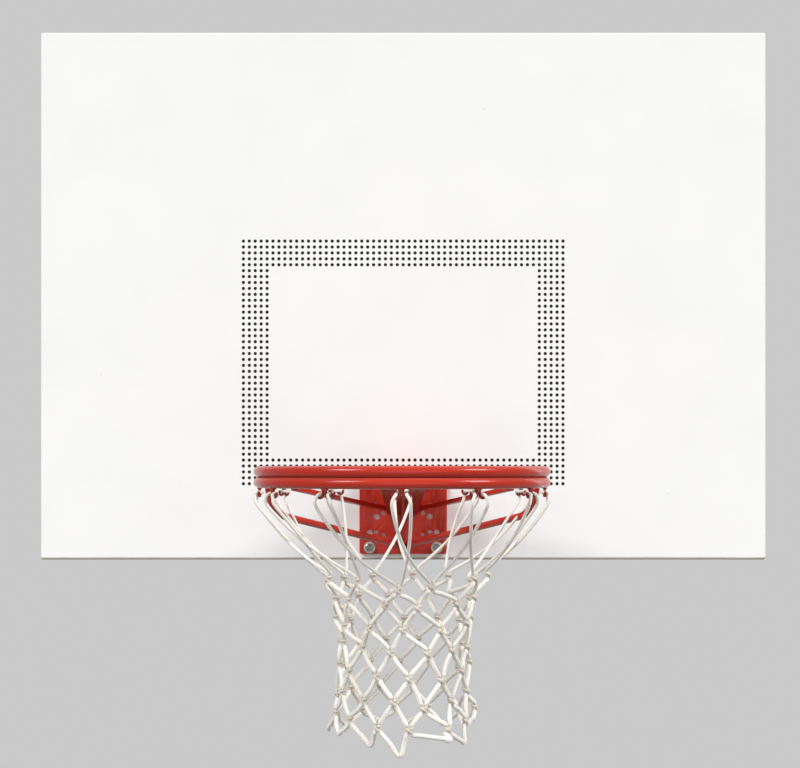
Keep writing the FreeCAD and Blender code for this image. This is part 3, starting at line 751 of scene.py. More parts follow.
@dataclass(frozen=True)
class Rim:
    """Where the rim is, read from its upper ring. The axis point lies level with the rings' seam."""

    axis: Vector
    radius: float
    rod: float

    @classmethod
    def from_frame(cls) -> "Rim":
        """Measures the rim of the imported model.

        Returns:
            The rim.
        """
        low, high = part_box("upper_ring")
        rod = (high.z - low.z) / 2
        middle = (low + high) / 2
        return cls(Vector((middle.x, middle.y, low.z)), (high.x - low.x) / 2 - rod, rod)

    def place(self, degrees: float, radius: float, rise: float) -> Vector:
        """Returns a point at an angle from the front, so far above the rings' seam."""
        angle = math.radians(degrees)
        return self.axis + Vector((radius * math.sin(angle), -radius * math.cos(angle), rise))

    def turn(self, degrees: float) -> Matrix:
        """Finds the directions at a place of the rim.

        Args:
            degrees: The place's angle from the front.

        Returns:
            The directions right, up and outward, as columns.
        """
        angle = math.radians(degrees)
        right = Vector((math.cos(angle), math.sin(angle), 0))
        outward = Vector((math.sin(angle), -math.cos(angle), 0))
        return Matrix((right, Vector((0, 0, 1)), outward)).transposed()


@dataclass
class Board:
    """The board: face sheet, edge frame, uprights and cross channels, with the welds of the frame."""

    finishes: Finishes
    frame_rounding: Rounding = Rounding(1.0 * MM)
    channel_rounding: Rounding = Rounding(0.8 * MM)
    thin_rounding: Rounding = Rounding(0.35 * MM)
    bead: WeldBead = WeldBead(radius=2.8 * MM)
    angle_wall: float = 4.8 * MM
    bead_front_gap: float = 3.0 * MM
    bead_end_gap: float = 5.0 * MM
    bead_inset: float = 4.0 * MM
    tack: WeldBead = WeldBead(radius=1.8 * MM)
    tack_length: float = 18.0 * MM
    upright_tacks: Tuple[float, ...] = (0.1, 0.5, 0.9)
    level_tacks: Tuple[float, ...] = (0.08, 0.32, 0.68, 0.92)

    def build(self) -> None:
        """Builds and dresses the board."""
        self.finishes.dress_node("face_sheet")
        for side in ("top", "bottom", "left", "right"):
            self.frame_rounding.copy(side + "_frame_angle", self.finishes)
        for name in ("left_mounting_channel", "right_mounting_channel", "upper_cross_channel",
                     "lower_cross_channel", "goal_backing_plate"):
            self.channel_rounding.copy(name, self.finishes)
        self.thin_rounding.copy("target_backing_sheet", self.finishes)
        self.build_welds()
        self.build_tacks()

    def build_welds(self) -> None:
        """Lays the beads of the mitres and of the cross channels' ends."""
        draft = Draft()
        low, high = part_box("top_frame_angle")
        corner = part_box("right_frame_angle")[1]
        run = Vector((0, high.y - low.y - self.bead_end_gap, 0))
        for x in (self.angle_wall - corner.x, corner.x - self.angle_wall):
            for z in (self.angle_wall - corner.z, corner.z - self.angle_wall):
                end = Vector((x, high.y, z))
                self.bead.lay(draft, [end - run, end])
        for name in ("upper_cross_channel", "lower_cross_channel"):
            low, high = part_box(name)
            front, back = low.y + self.bead_front_gap, high.y - self.bead_end_gap
            bottom, top = low.z + self.bead_inset, high.z - self.bead_inset
            for x in (low.x, high.x):
                for z in (low.z, high.z):
                    self.bead.lay(draft, [Vector((x, front, z)), Vector((x, back, z))])
                self.bead.lay(draft, [Vector((x, high.y, bottom)), Vector((x, high.y, top))])
        draft.piece("frame_welds", Slot.WHITE_PAINT, self.finishes)

    def build_tacks(self) -> None:
        """Lays short beads round the backing sheet, which hold it to the back of the face sheet."""
        draft = Draft()
        low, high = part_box("target_backing_sheet")
        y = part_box("face_sheet")[1].y
        size = high - low
        half = self.tack_length / 2
        spots = [(Vector((x, y, low.z + size.z * share)), Vector((0, 0, half)))
                 for x in (low.x, high.x) for share in self.upright_tacks]
        spots += [(Vector((low.x + size.x * share, y, z)), Vector((half, 0, 0)))
                  for z in (low.z, high.z) for share in self.level_tacks]
        for middle, along in spots:
            self.tack.lay(draft, [middle - along, middle + along])
        draft.piece("backing_tacks", Slot.BLACK_PAINT, self.finishes)


@dataclass
class Goal:
    """The goal: plate, neck, rings, braces and hooks, with their welds."""

    finishes: Finishes
    rim: Rim
    plate_rounding: Rounding = Rounding(0.9 * MM)
    neck_rounding: Rounding = Rounding(0.7 * MM)
    bead: WeldBead = WeldBead()
    small_bead: WeldBead = WeldBead(radius=1.7 * MM, ripple_pitch=1.5 * MM, step=0.4 * MM)
    hooks: int = 12
    hook_bead_drop: float = 0.6 * MM
    hook_bead_offset: float = 2.0 * MM
    hook_bead_half_mm: float = 5.5
    cheek_side: float = 28.0 * MM
    gusset_foot: float = 1.0 * MM
    gusset_head: float = 26.0 * MM
    slope_bead: Range = (5.0 * MM, 26.0 * MM)
    saddle_offset: float = 7.6 * MM
    saddle_rise: float = 14.0 * MM
    saddle_degrees: Range = (169.0, 191.0)
    chin_drop: float = 3.0 * MM
    chin_degrees: Range = (170.5, 189.5)
    neck_steps: int = 24
    stitch_inset: float = 3.6 * MM
    stitch_half_degrees: float = 3.2
    stitch_steps: int = 10

    def build(self) -> None:
        """Builds and dresses the goal."""
        self.plate_rounding.copy("goal_plate", self.finishes)
        for name in ("neck_top_plate", "neck_left_cheek", "neck_right_cheek", "neck_sloping_plate",
                     "neck_gusset", "left_upper_brace", "right_upper_brace"):
            self.neck_rounding.copy(name, self.finishes)
        for name in ("upper_ring", "lower_ring", "left_lower_brace", "right_lower_brace"):
            self.finishes.dress_node(name)
        for index in range(self.hooks):
            self.finishes.dress_node("net_hook_%02d" % (index + 1), Kind.HOOK)
        self.build_hook_welds()
        self.build_neck_welds()

    def build_hook_welds(self) -> None:
        """Lays two small beads at each hook, inside and outside its peak."""
        draft = Draft()
        rise = -2 * self.rim.rod - self.hook_bead_drop
        for index in range(self.hooks):
            degrees = FULL_TURN / self.hooks * index
            half = self.rim.turn(degrees).col[0] * self.hook_bead_half_mm * MM
            for offset in (-self.hook_bead_offset, self.hook_bead_offset):
                middle = self.rim.place(degrees, self.rim.radius + offset, rise)
                self.small_bead.lay(draft, [middle - half, middle + half])
        draft.piece("hook_welds", Slot.RED_PAINT, self.finishes)

    def lay_on_plate(self, draft: Draft, x: Range, z: Range) -> None:
        """Lays a straight bead on the front of the goal plate."""
        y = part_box("goal_plate")[0].y
        self.bead.lay(draft, [Vector((x[0], y, z[0])), Vector((x[1], y, z[1]))])

    def lay_round_rim(self, draft: Draft, radius: float, rise: float, degrees: Range, steps: int) -> None:
        """Lays a bead along an arc of the rim.

        Args:
            draft: Takes the faces.
            radius: The arc's radius.
            rise: How far it lies above the rings' seam.
            degrees: Its first and last angle from the front.
            steps: Its straight pieces.
        """
        first, last = degrees
        angles = [first + (last - first) * k / steps for k in range(steps + 1)]
        self.bead.lay(draft, [self.rim.place(angle, radius, rise) for angle in angles])

    def build_neck_welds(self) -> None:
        """Lays the beads between neck, plate, gusset and rings, and the stitches between the rings."""
        draft = Draft()
        for name, x in (("neck_left_cheek", -self.cheek_side), ("neck_right_cheek", self.cheek_side)):
            low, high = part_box(name)
            self.lay_on_plate(draft, (x, x), (high.z, low.z))
        low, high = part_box("neck_gusset")
        for x in (low.x, high.x):
            self.lay_on_plate(draft, (x, x), (low.z + self.gusset_foot, high.z - self.gusset_head))
        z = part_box("neck_sloping_plate")[0].z
        for sign in (-1, 1):
            self.lay_on_plate(draft, tuple(sign * x for x in self.slope_bead), (z, z))
        radius, rod = self.rim.radius, self.rim.rod
        self.lay_round_rim(draft, radius + self.saddle_offset, self.saddle_rise,
                           self.saddle_degrees, self.neck_steps)
        self.lay_round_rim(draft, radius + rod, -rod - self.chin_drop, self.chin_degrees, self.neck_steps)
        for index in range(self.hooks):
            middle = FULL_TURN / self.hooks * (index + 0.5)
            degrees = (middle - self.stitch_half_degrees, middle + self.stitch_half_degrees)
            self.lay_round_rim(draft, radius - self.stitch_inset, 0.0, degrees, self.stitch_steps)
        draft.piece("goal_welds", Slot.RED_PAINT, self.finishes)


@dataclass
class GoalFasteners:
    """The four goal bolts with their washers, lock washers and nuts."""

    finishes: Finishes
    rim: Rim
    spacing: float = 127.0 * MM
    drop: float = 8.0 * MM
    head_flats: float = 14.3 * MM
    head_height: float = 6.2 * MM
    head_dish: float = 0.25 * MM
    dish_share: float = 0.36
    dish_edge_share: float = 0.4
    face_share: float = 0.475
    nut_bore: float = 9.8 * MM
    bore_chamfer: float = 0.5 * MM
    shank: float = 9.5 * MM
    thread_length: float = 6.0 * MM
    thread_pitch: float = 1.5 * MM
    thread_depth: float = 0.75 * MM
    thread_rings: int = 30
    taper_rings: int = 4
    taper_step: float = 0.18 * MM
    sides: int = 48
    sharp_degrees: float = 28.0
    washer_rounding: Rounding = Rounding(0.35 * MM)
    lock_washer_rounding: Rounding = Rounding(0.25 * MM)

    def hexagon(self, angle: float) -> float:
        """Returns the distance from the middle to the flat or corner at an angle."""
        turn = angle % (math.pi / 3) - math.pi / 6
        return self.head_flats / 2 / math.cos(turn)

    def chamfer(self, angle: float, y: float, sign: int) -> float:
        """Returns the depth of a chamfer at an angle, below or above a face's depth."""
        return y + sign * (self.hexagon(angle) - self.head_flats * self.face_share) * math.tan(math.pi / 6)

    def groove(self, angle: float, y: float, taper: float) -> float:
        """Returns the radius on the thread at an angle and a depth."""
        turn = (y / self.thread_pitch + angle / (2 * math.pi)) % 1.0
        return self.shank / 2 - self.thread_depth * abs(2 * turn - 1) - taper

    def add_rings(self, draft: Draft, x: float, z: float, profile: Sequence[Tuple[Size, Size]],
                  close: bool) -> None:
        """Adds a form of rings round a bolt's axis.

        Args:
            draft: Takes the faces.
            x: The axis' side.
            z: The axis' height.
            profile: Each ring's radius and depth, as numbers or by the angle.
            close: Whether the last ring joins the first.
        """
        rings = []
        for radius, depth in profile:
            ring = []
            for side in range(self.sides):
                angle = 2 * math.pi * side / self.sides
                size = radius(angle) if callable(radius) else radius
                y = depth(angle) if callable(depth) else depth
                ring.append(Vector((x + size * math.cos(angle), y, z + size * math.sin(angle))))
            rings.append(ring)
        draft.rings(rings, close)

    def bolt_profile(self) -> List[Tuple[Size, Size]]:
        """Draws a bolt: a chamfered head, a shank and a threaded end.

        Returns:
            Its rings.
        """
        flats, half = self.head_flats, self.shank / 2
        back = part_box("goal_front_washers")[0].y
        front = back - self.head_height
        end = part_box("goal_bolts")[1].y
        thread_start = end - self.thread_length
        profile = [
            (flats * self.dish_share, front + self.head_dish),
            (flats * self.dish_edge_share, front),
            (flats * self.face_share, front),
            (self.hexagon, partial(self.chamfer, y=front, sign=1)),
            (self.hexagon, back),
            (half, back),
            (half, thread_start),
        ]
        for ring in range(1, self.thread_rings + 1):
            y = thread_start + self.thread_length * ring / self.thread_rings
            taper = max(0, ring - self.thread_rings + self.taper_rings) * self.taper_step
            profile.append((partial(self.groove, y=y, taper=taper), y))
        return profile

    def nut_profile(self) -> List[Tuple[Size, Size]]:
        """Draws a nut with both faces chamfered.

        Returns:
            Its rings.
        """
        low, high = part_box("goal_nuts")
        bore, face = self.nut_bore / 2, self.head_flats * self.face_share
        return [
            (bore, low.y + self.bore_chamfer),
            (bore + self.bore_chamfer, low.y),
            (face, low.y),
            (self.hexagon, partial(self.chamfer, y=low.y, sign=1)),
            (self.hexagon, partial(self.chamfer, y=high.y, sign=-1)),
            (face, high.y),
            (bore + self.bore_chamfer, high.y),
            (bore, high.y - self.bore_chamfer),
        ]

    def build(self) -> None:
        """Builds and dresses the fasteners."""
        top = self.rim.axis.z - self.drop
        for name, node, profile, close in (
                ("hexagon_bolts", "goal_bolts", self.bolt_profile(), False),
                ("hexagon_nuts", "goal_nuts", self.nut_profile(), True)):
            draft = Draft()
            for x in (-self.spacing / 2, self.spacing / 2):
                for z in (top, top - self.spacing):
                    self.add_rings(draft, x, z, profile, close)
            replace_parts(draft.piece(name, Slot.ZINC_STEEL, self.finishes, self.sharp_degrees), node)
        for name in ("goal_front_washers", "goal_rear_washers"):
            self.washer_rounding.copy(name, self.finishes, Kind.WASHER)
        self.lock_washer_rounding.copy("goal_lock_washers", self.finishes, Kind.WASHER)


class Route:
    """The control points of one closed cord, with its thickness share and its painted knot shade and soil
    at each.
    """

    def __init__(self) -> None:
        """Starts empty."""
        self.points: Points = []
        self.marks: List[Range] = []

    def add(self, points: Iterable[Vector], share: float, shade_and_soil: float = 0.0) -> None:
        """Adds points that are alike.

        Args:
            points: The points in order.
            share: Their share of the cord's thickness.
            shade_and_soil: How much painted shade and soil they take, from 0 to 1.
        """
        for point in points:
            self.points.append(point)
            self.marks.append((share, shade_and_soil))

    def add_knot(self, points: Points, share: float, end_share: float) -> None:
        """Adds a knot with painted shade and soil inside, whose ends are as thick and clean as the running
        cord.

        Args:
            points: The knot's points in order.
            share: The thickness share inside the knot.
            end_share: The thickness share of its ends.
        """
        self.add(points[:1], end_share)
        self.add(points[1:-1], share, shade_and_soil=1.0)
        self.add(points[-1:], end_share)

    def sampled(self, step: float) -> Tuple[np.ndarray, np.ndarray]:
        """Samples a smooth closed curve through the points.

        Args:
            step: About how far apart the samples are.

        Returns:
            The samples, and for each its thickness share and its soil.
        """
        spots = np.array(self.points)
        given = np.array(self.marks)
        count = len(spots)
        lines, marks = [], []
        for index in range(count):
            p = [spots[(index + offset) % count] for offset in (-1, 0, 1, 2)]
            knots = [0.0]
            for a, b in zip(p, p[1:]):
                knots.append(knots[-1] + math.sqrt(np.linalg.norm(b - a)))
            pieces = max(2, math.ceil(np.linalg.norm(p[2] - p[1]) / step))
            part = (np.arange(pieces) / pieces)[:, None]
            t = knots[1] + (knots[2] - knots[1]) * part

            def between(a: np.ndarray, b: np.ndarray, start: float, end: float) -> np.ndarray:
                """Returns points between two curves by the running value."""
                return a * (end - t) / (end - start) + b * (t - start) / (end - start)

            first = [between(p[k], p[k + 1], knots[k], knots[k + 1]) for k in range(3)]
            second = [between(first[k], first[k + 1], knots[k], knots[k + 2]) for k in range(2)]
            lines.append(between(second[0], second[1], knots[1], knots[2]))
            marks.append(given[index] * (1 - part) + given[(index + 1) % count] * part)
        return np.concatenate(lines), np.concatenate(marks)


def closed_tube(centres: np.ndarray, radii: np.ndarray, sides: int, uv_name: str) -> bpy.types.Mesh:
    """Makes a round tube along a closed line, with its run and turn as a UV map.

    Args:
        centres: Points of the line.
        radii: The radius at each point.
        sides: Faces round the tube.
        uv_name: The UV map's name.

    Returns:
        The mesh.
    """
    count = len(centres)
    along = np.roll(centres, -1, axis=0) - np.roll(centres, 1, axis=0)
    along /= np.linalg.norm(along, axis=1)[:, None]
    normals = np.zeros_like(centres)
    normals[0] = np.array(circle_frame(Vector(along[0]))[0])
    for index in range(1, count + 1):
        here = index % count
        carried = normals[index - 1] - along[here] * normals[index - 1].dot(along[here])
        carried /= np.linalg.norm(carried)
        if index < count:
            normals[here] = carried
    across = np.cross(along, normals)
    # The normal that was carried once round has slipped by an angle, which is spread over the whole line
    slip = math.atan2(carried.dot(across[0]), carried.dot(normals[0]))
    angles = 2 * np.pi * np.arange(sides) / sides
    turns = (angles[None, :] - (slip * np.arange(count) / count)[:, None])[:, :, None]
    spokes = np.cos(turns) * normals[:, None, :] + np.sin(turns) * across[:, None, :]
    rings = centres[:, None, :] + radii[:, None, None] * spokes
    here = (np.arange(count) * sides)[:, None]
    there = np.roll(here, -1, axis=0)
    side = np.arange(sides)[None, :]
    after = (side + 1) % sides
    faces = np.stack((here + side, here + after, there + after, there + side), axis=-1).reshape(-1, 4)
    mesh = bpy.data.meshes.new("tube")
    mesh.from_pydata(rings.reshape(-1, 3).tolist(), [], faces.tolist())
    steps = np.linalg.norm(np.roll(centres, -1, axis=0) - centres, axis=1)
    runs = np.concatenate(([0.0], np.cumsum(steps)))
    run, next_run = np.repeat(runs[:-1], sides), np.repeat(runs[1:], sides)
    turn = np.tile(np.arange(sides) / sides, count)
    next_turn = turn + 1.0 / sides
    corners = np.stack((run, turn, run, next_turn, next_run, next_turn, next_run, turn), axis=1)
    mesh.uv_layers.new(name=uv_name).data.foreach_set("uv", corners.astype(np.float32).ravel())
    return mesh


@dataclass
class Net:
    """The knotted net: a closed cord on the hooks, one for each row of meshes, one for the bottom loops."""

    finishes: Finishes
    rim: Rim
    columns: int = 12
    cord: float = 6.4 * MM
    length: float = 416.0 * MM
    waist: float = 106.0 * MM
    twist: float = 24.0
    row_drop_shares: Tuple[float, ...] = (0.374, 0.452, 0.540, 0.629, 0.728, 0.826, 0.918)
    row_radius_shares: Tuple[float, ...] = (1.21, 1.08, 1.01, 1.00, 1.01, 1.055, 1.10)
    loop_radius_share: float = 1.11
    knot_unit: float = 3.1 * MM
    knot_share: float = 0.76
    leg_share: float = 0.84
    mesh_share: float = 1.2
    mesh_stray: float = 1.3 * MM
    loop_stray: float = 1.5 * MM
    slack_shares: Tuple[Range, ...] = ((0.33, 0.9), (0.67, 1.0))
    bow_side: float = 8.15 * MM
    bow_rise: float = -26.35 * MM
    leg_lean: float = 4.2 * MM
    leg_bow: Range = (2.0 * MM, 8.0 * MM)
    leg_sag: Range = (5.0 * MM, 14.0 * MM)
    leg_shares: Tuple[Range, ...] = ((0.22, 0.75), (0.5, 1.0), (0.78, 0.6))
    tip_half_width: float = 4.2 * MM
    tip_lift: float = 3.2 * MM
    tip_wander_shares: Spot = (3.0, 2.2, 1.5)
    sides: int = 12
    smooth_degrees: float = 180.0
    sample: float = 1.2 * MM
    wander: float = 3.4 * MM
    seed: int = 11
    # Knots and bottom loops of the front that hang off their even places, with row, step, then right and
    # up in millimetres. The last row is the loops
    hang: Tuple[Tuple[int, int, float, float], ...] = (
        (0, 9, 1, 8), (0, 10, 3, 6), (0, 11, 6, -6), (0, 0, -6, -1), (0, 1, 14, 9), (0, 2, 13, 12),
        (1, 9, 0, 8), (1, 10, 3, 9), (1, 11, 13, 0), (1, 0, 0, -6), (1, 1, 14, 2), (1, 2, 8, 12),
        (2, 8, -5, 8), (2, 10, 2, 0), (2, 11, 3, 0), (2, 0, 15, -6), (2, 1, 14, 7), (2, 2, 3, 12),
        (3, 9, 5, 4), (3, 10, 13, 5), (3, 11, 12, 0), (3, 0, 12, -6), (3, 1, 5, -2), (3, 2, 2, -3),
        (4, 8, 5, 9), (4, 9, 4, 5), (4, 10, 7, -2), (4, 11, 5, -5), (4, 0, 6, -4), (4, 2, 7, 12),
        (5, 9, 5, 10), (5, 10, 8, 0), (5, 11, 4, 3), (5, 0, -4, -9), (5, 1, -7, 2), (5, 2, -6, 5),
        (6, 8, 3, 10), (6, 9, 8, 3), (6, 10, 5, -2), (6, 11, -4, -1), (6, 0, 4, -5), (6, 1, -4, -3),
        (6, 2, 7, 16), (7, 7, -9, 5), (7, 8, 0, 6), (7, 9, 9, -8), (7, 10, -1, -19), (7, 11, 27, 6),
        (7, 0, 5, -8), (7, 1, 9, 24))
    # Half of the cord's run over a hook: a share of the bow's side, then outward and up in millimetres
    hook_half: Tuple[Spot, ...] = (
        (1.75, 5.5, -15.0), (1.6, 6.2, -8.0), (1.15, 5.0, -1.5), (1.0, 0.5, 0.6), (0.85, -3.7, 0.8),
        (0.35, -5.7, 0.8))
    # The upper cord's bight and the lower cord's wrap in a knot: right, up and outward in knot units
    bight: Tuple[Spot, ...] = (
        (-1.45, 2.5, 0.0), (-0.62, 1.15, 0.0), (-0.72, 0.15, 0.1), (-0.95, -0.75, 0.0), (0.0, -1.6, 0.1),
        (0.95, -0.75, 0.0), (0.72, 0.15, 0.1), (0.62, 1.15, 0.0), (1.45, 2.5, 0.0))
    wrap: Tuple[Spot, ...] = (
        (-1.5, -2.6, 0.0), (-0.55, -1.6, -0.85), (0.0, -0.65, 0.0), (0.5, 0.3, 0.95), (1.3, 0.75, 0.65),
        (1.6, 0.8, -0.2), (0.8, 0.7, -1.0), (-0.8, 0.65, -1.0), (-1.6, 0.5, -0.1), (-1.0, 0.0, 0.95),
        (0.0, -0.75, 1.2), (0.9, -1.6, 0.8), (1.5, -2.6, 0.0))

    def __post_init__(self) -> None:
        """Draws how far each knot and bottom loop hangs from its even place."""
        self.draw = random.Random(self.seed)
        self.last_row = len(self.row_drop_shares) - 1
        self.shifts = [[Vector([self.draw.uniform(-1, 1) * self.wander for _ in range(3)])
                        for _ in range(self.columns)] for _ in range(self.last_row + 2)]
        self.hung = {(row, step): Vector((right, 0, up)) * MM for row, step, right, up in self.hang}

    def place(self, degrees: float, radius: float, drop: float) -> Vector:
        """Returns a point of the twisted net at an angle from the front, below the lower ring."""
        return self.rim.place(degrees + self.twist * drop / self.length, radius, -2 * self.rim.rod - drop)

    def hook_degrees(self, step: int) -> float:
        """Returns a hook's angle from the front."""
        return FULL_TURN / self.columns * step

    def knot_degrees(self, row: int, step: int) -> float:
        """Returns a knot's angle before the twist. Rows alternate by half a step."""
        return (step + (row + 1) % 2 / 2) * FULL_TURN / self.columns

    def in_knot(self, row: int, step: int, template: Sequence[Spot]) -> Points:
        """Places a template at a knot.

        Args:
            row: The knot's row from the top.
            step: The knot's number round the net.
            template: Points in knot units.

        Returns:
            The points in place.
        """
        column = step % self.columns
        drop = self.length * self.row_drop_shares[row]
        degrees = self.knot_degrees(row, step)
        turn = self.rim.turn(degrees + self.twist * drop / self.length)
        shift = turn @ self.shifts[row][column] + self.hung.get((row, column), Vector())
        middle = self.place(degrees, self.waist * self.row_radius_shares[row], drop) + shift
        return [middle + turn @ (Vector(spot) * self.knot_unit) for spot in template]

    def slack(self, start: Vector, end: Vector, bow: float) -> Points:
        """Places two points between two ends, a little off the straight line.

        Args:
            start: The first end.
            end: The last end.
            bow: How far the cord may stray.

        Returns:
            The points.
        """
        stray = Vector([self.draw.uniform(-bow, bow) for _ in range(3)])
        return [start.lerp(end, share) + stray * weight for share, weight in self.slack_shares]

    def hook_run(self, step: int) -> Points:
        """Places the cord over both bows of a hook and behind its stem.

        Args:
            step: The hook's number.

        Returns:
            The points, from the front of the right bow to the front of the left one.
        """
        spots = [(share * self.bow_side, up * MM, out * MM) for share, out, up in self.hook_half]
        spots += [(-x, up, out) for x, up, out in reversed(spots)]
        degrees = self.hook_degrees(step)
        turn = self.rim.turn(degrees)
        middle = self.rim.place(degrees, self.rim.radius, self.bow_rise)
        return [middle + turn @ Vector(spot) for spot in spots]

    def hook_leg(self, start: Vector, end: Vector, step: int, side: int) -> Points:
        """Places a long leg between a hook and a knot, bowed and sagging.

        Args:
            start: The leg's upper end, at the hook.
            end: The leg's lower end, at the knot.
            step: The hook's number.
            side: -1 to bow left and lean outward, 1 to bow right and lean inward.

        Returns:
            The points between the ends, from the hook down.
        """
        bow, sag = self.draw.uniform(*self.leg_bow), self.draw.uniform(*self.leg_sag)
        stray = self.rim.turn(self.hook_degrees(step)) @ Vector((side * bow, -sag, -side * self.leg_lean))
        return [start.lerp(end, share) + stray * weight for share, weight in self.leg_shares]

    def top_route(self) -> Route:
        """Routes the cord that hangs the net on its hooks. The two legs at a hook cross each other.

        Returns:
            The route.
        """
        route = Route()
        for step in range(self.columns):
            left = self.in_knot(0, step - 1, self.bight)[-1]
            right = self.in_knot(0, step, self.bight)
            run = self.hook_run(step)
            inner = self.hook_leg(run[0], left, step, 1)
            outer = self.hook_leg(run[-1], right[0], step, -1)
            route.add([*reversed(inner), *run, *outer], self.leg_share)
            route.add_knot(right, self.knot_share, self.leg_share)
        return route

    def mesh_route(self, row: int) -> Route:
        """Routes the cord of the meshes between a row of knots and the next one.

        Args:
            row: The upper row.

        Returns:
            The route.
        """
        route = Route()
        for step in range(self.columns):
            upper = self.in_knot(row, step, self.wrap)
            below = step + 1 if row % 2 == 0 else step
            lower = self.in_knot(row + 1, below, self.bight)
            onward = self.in_knot(row, step + 1, self.wrap)[0]
            route.add_knot(upper, self.knot_share, self.mesh_share)
            route.add(self.slack(upper[-1], lower[0], self.mesh_stray), self.mesh_share)
            route.add_knot(lower, self.knot_share, self.mesh_share)
            route.add(self.slack(lower[-1], onward, self.mesh_stray), self.mesh_share)
        return route

    def loop_tip(self, step: int) -> Points:
        """Places the lowest bend of a bottom loop.

        Args:
            step: The loop's number.

        Returns:
            Its left, lowest and right point.
        """
        row = self.last_row + 1
        degrees = self.hook_degrees(step + 1)
        turn = self.rim.turn(degrees + self.twist)
        shift = self.shifts[row][step]
        shift = Vector((shift.x, abs(shift.y), shift.z)) * Vector(self.tip_wander_shares)
        radius = self.waist * self.loop_radius_share - self.cord / 2
        tip = self.place(degrees, radius, self.length - self.cord / 2) + turn @ shift
        tip += self.hung.get((row, step), Vector())
        spread = turn.col[0] * self.tip_half_width
        lift = Vector((0, 0, self.tip_lift))
        return [tip - spread + lift, tip, tip + spread + lift]

    def bottom_route(self) -> Route:
        """Routes the cord whose loops hang below the lowest knots.

        Returns:
            The route.
        """
        route = Route()
        for step in range(self.columns):
            upper = self.in_knot(self.last_row, step, self.wrap)
            onward = self.in_knot(self.last_row, step + 1, self.wrap)[0]
            tip = self.loop_tip(step)
            route.add_knot(upper, self.knot_share, self.mesh_share)
            route.add(self.slack(upper[-1], tip[0], self.loop_stray), self.mesh_share)
            route.add(tip, self.mesh_share)
            route.add(self.slack(tip[-1], onward, self.loop_stray), self.mesh_share)
        return route

    def cord_piece(self, name: str, route: Route, *nodes: str) -> None:
        """Makes one cord of the net.

        Args:
            name: The piece's name.
            route: Its control points.
            nodes: The CAD nodes it stands for.
        """
        centres, marks = route.sampled(self.sample)
        finish = self.finishes.recipes[Slot.NET_CORD]
        mesh = closed_tube(centres, marks[:, 0] * self.cord / 2, self.sides, finish.uv_name)
        # How much painted shade and soil each ring of the tube takes, for the knots.
        shade_and_soil = np.repeat(marks[:, 1], self.sides).astype(np.float32)
        mesh.attributes.new(finish.shade_and_soil_name, "FLOAT", "POINT").data.foreach_set("value", shade_and_soil)
        piece = mesh_piece(mesh, name, Slot.NET_CORD, self.finishes, self.smooth_degrees)
        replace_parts(piece, *nodes)

    def build(self) -> None:
        """Builds and dresses the net."""
        self.cord_piece("top_loop_cord", self.top_route(), "net_top_loops", "net_knots")
        for row in range(self.last_row):
            number = row + 1
            self.cord_piece("mesh_cord_%d" % number, self.mesh_route(row), "net_mesh_row_%d" % number)
        self.cord_piece("bottom_loop_cord", self.bottom_route(), "net_bottom_loops")


@dataclass(frozen=True)
class SoftLight:
    """A soft lamp, so far away that it lights the whole part evenly.

    Azimuth 0 is the front and positive is to the right. The level is what it gives a white surface that
    faces it, and the spread is how wide it looks from the part, both angles in degrees.
    """

    name: str
    azimuth: float
    elevation: float
    level: float
    spread: float
    distance: float = 6.0

    def build(self) -> None:
        """Adds the lamp to the scene."""
        side, up = math.radians(self.azimuth), math.radians(self.elevation)
        back = Vector((math.sin(side) * math.cos(up), -math.cos(side) * math.cos(up), math.sin(up)))
        data = bpy.data.lights.new(self.name, "SUN")
        data.energy = self.level * math.pi
        data.angle = math.radians(self.spread)
        lamp = bpy.data.objects.new(self.name, data)
        lamp.location = back * self.distance
        lamp.rotation_euler = back.to_track_quat("Z", "Y").to_euler()
        bpy.context.scene.collection.objects.link(lamp)


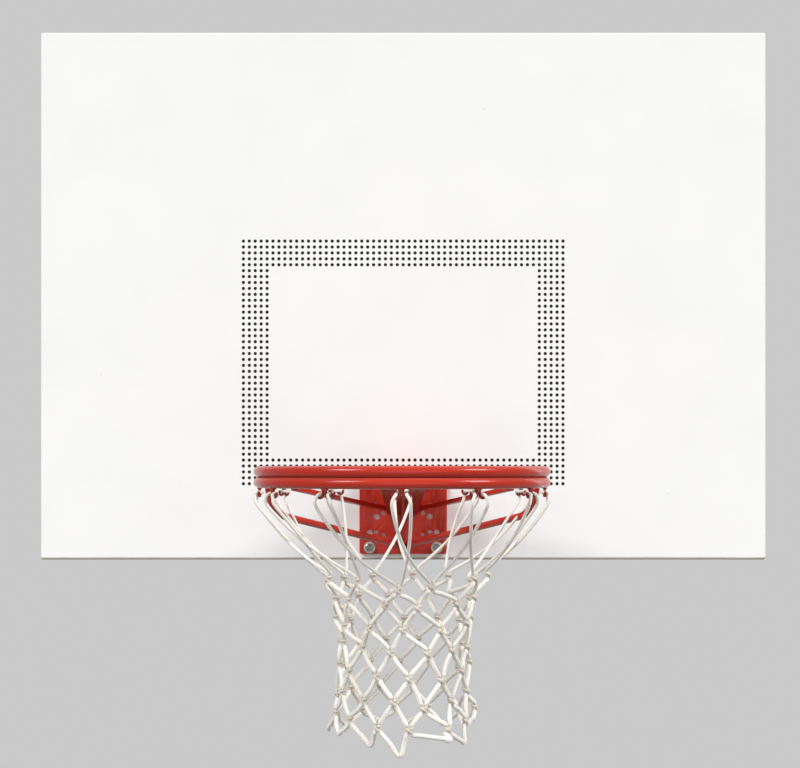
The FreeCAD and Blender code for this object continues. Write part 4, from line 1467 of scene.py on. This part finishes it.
@dataclass
class Studio:
    """Camera, lamps, plain background and pale floor."""

    rim: Rim
    lens: float = 76.1
    side: float = 0.015
    rise: float = 0.012
    board_distance: float = 3.2
    shift_x: float = -0.0139
    shift_y: float = 0.1071
    background: Colour = (0.584, 0.584, 0.584, 1.0)
    ambient_colour: Colour = (1.0, 1.0, 1.0, 1.0)
    ambient: float = 0.2
    floor_drop: float = 3.05
    floor_radius: float = 9.0
    floor_sides: int = 64
    floor_fade_share: float = 0.45
    floor_waves: float = 3.0
    floor_tones: Tuple[Colour, Colour] = ((0.49, 0.49, 0.49, 1.0), (0.475, 0.475, 0.478, 1.0))
    floor_roughness: float = 0.7
    lamps: Tuple[SoftLight, ...] = (
        SoftLight("left_softbox", azimuth=-49.0, elevation=35.0, level=0.7, spread=20.0),
        SoftLight("right_softbox", azimuth=67.0, elevation=35.0, level=0.76, spread=20.0),
        SoftLight("front_fill", azimuth=5.0, elevation=3.0, level=0.24, spread=60.0),
        SoftLight("rear_fill", azimuth=155.0, elevation=12.0, level=0.6, spread=60.0),
    )

    def build(self) -> None:
        """Sets up the scene around the part."""
        bpy.context.scene.view_settings.view_transform = "Standard"
        self.build_camera()
        for lamp in self.lamps:
            lamp.build()
        self.build_world()
        self.build_floor()

    def build_camera(self) -> None:
        """Places the level camera a little above the rings' seam."""
        data = bpy.data.cameras.new("camera")
        data.lens = self.lens
        data.shift_x, data.shift_y = self.shift_x, self.shift_y
        camera = bpy.data.objects.new("camera", data)
        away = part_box("face_sheet")[0].y - self.board_distance
        camera.location = (self.side, away, self.rim.axis.z + self.rise)
        camera.rotation_euler = (math.pi / 2, 0, 0)
        bpy.context.scene.collection.objects.link(camera)
        bpy.context.scene.camera = camera

    def build_world(self) -> None:
        """Makes a plain background for the camera and for reflections, and a soft light for the rest."""
        world = bpy.data.worlds.new("studio")
        world.use_nodes = True
        world.node_tree.nodes.clear()
        bench = Bench(world.node_tree)
        path = bench.add("ShaderNodeLightPath").outputs
        seen = bench.math("MAXIMUM", path["Is Camera Ray"], path["Is Glossy Ray"])
        seen = bench.math("MAXIMUM", seen, path["Is Transmission Ray"])
        light = bench.add("ShaderNodeBackground", {"Color": self.ambient_colour, "Strength": self.ambient})
        plain = bench.add("ShaderNodeBackground", {"Color": self.background, "Strength": 1.0})
        mix = bench.add("ShaderNodeMixShader", {0: seen, 1: light.outputs[0], 2: plain.outputs[0]})
        bench.add("ShaderNodeOutputWorld", {"Surface": mix.outputs[0]})
        bpy.context.scene.world = world

    def build_floor(self) -> None:
        """Makes a round pale floor at a goal's usual height below the rim, which fades out at its edge."""
        material, bench, shader = new_material("pale_floor")
        tone = bench.blend(bench.noise(self.floor_waves, detail=3.0), *self.floor_tones)
        bench.feed(shader.inputs["Base Color"], tone)
        shader.inputs["Roughness"].default_value = self.floor_roughness
        away = bench.add("ShaderNodeVectorMath", {0: bench.place()}, operation="LENGTH").outputs["Value"]
        fade = bench.step(away, low=self.floor_radius, high=self.floor_radius * self.floor_fade_share)
        bench.feed(shader.inputs["Alpha"], fade)
        angles = [2 * math.pi * side / self.floor_sides for side in range(self.floor_sides)]
        edge = [(self.floor_radius * math.cos(a), self.floor_radius * math.sin(a), 0.0) for a in angles]
        mesh = bpy.data.meshes.new("floor")
        mesh.from_pydata(edge, [], [tuple(range(self.floor_sides))])
        mesh.materials.append(material)
        floor = bpy.data.objects.new("floor", mesh)
        floor.location = self.rim.axis - Vector((0, 0, self.floor_drop))
        floor.visible_diffuse = False
        bpy.context.scene.collection.objects.link(floor)


def main() -> None:
    """Builds the studio and the part's sub-assemblies in order."""
    logging.basicConfig(level=logging.INFO, format="%(message)s")
    finishes = Finishes()
    rim = Rim.from_frame()
    Studio(rim).build()
    Board(finishes).build()
    Goal(finishes, rim).build()
    GoalFasteners(finishes, rim).build()
    Net(finishes, rim).build()


if __name__ == "__main__":
    main()
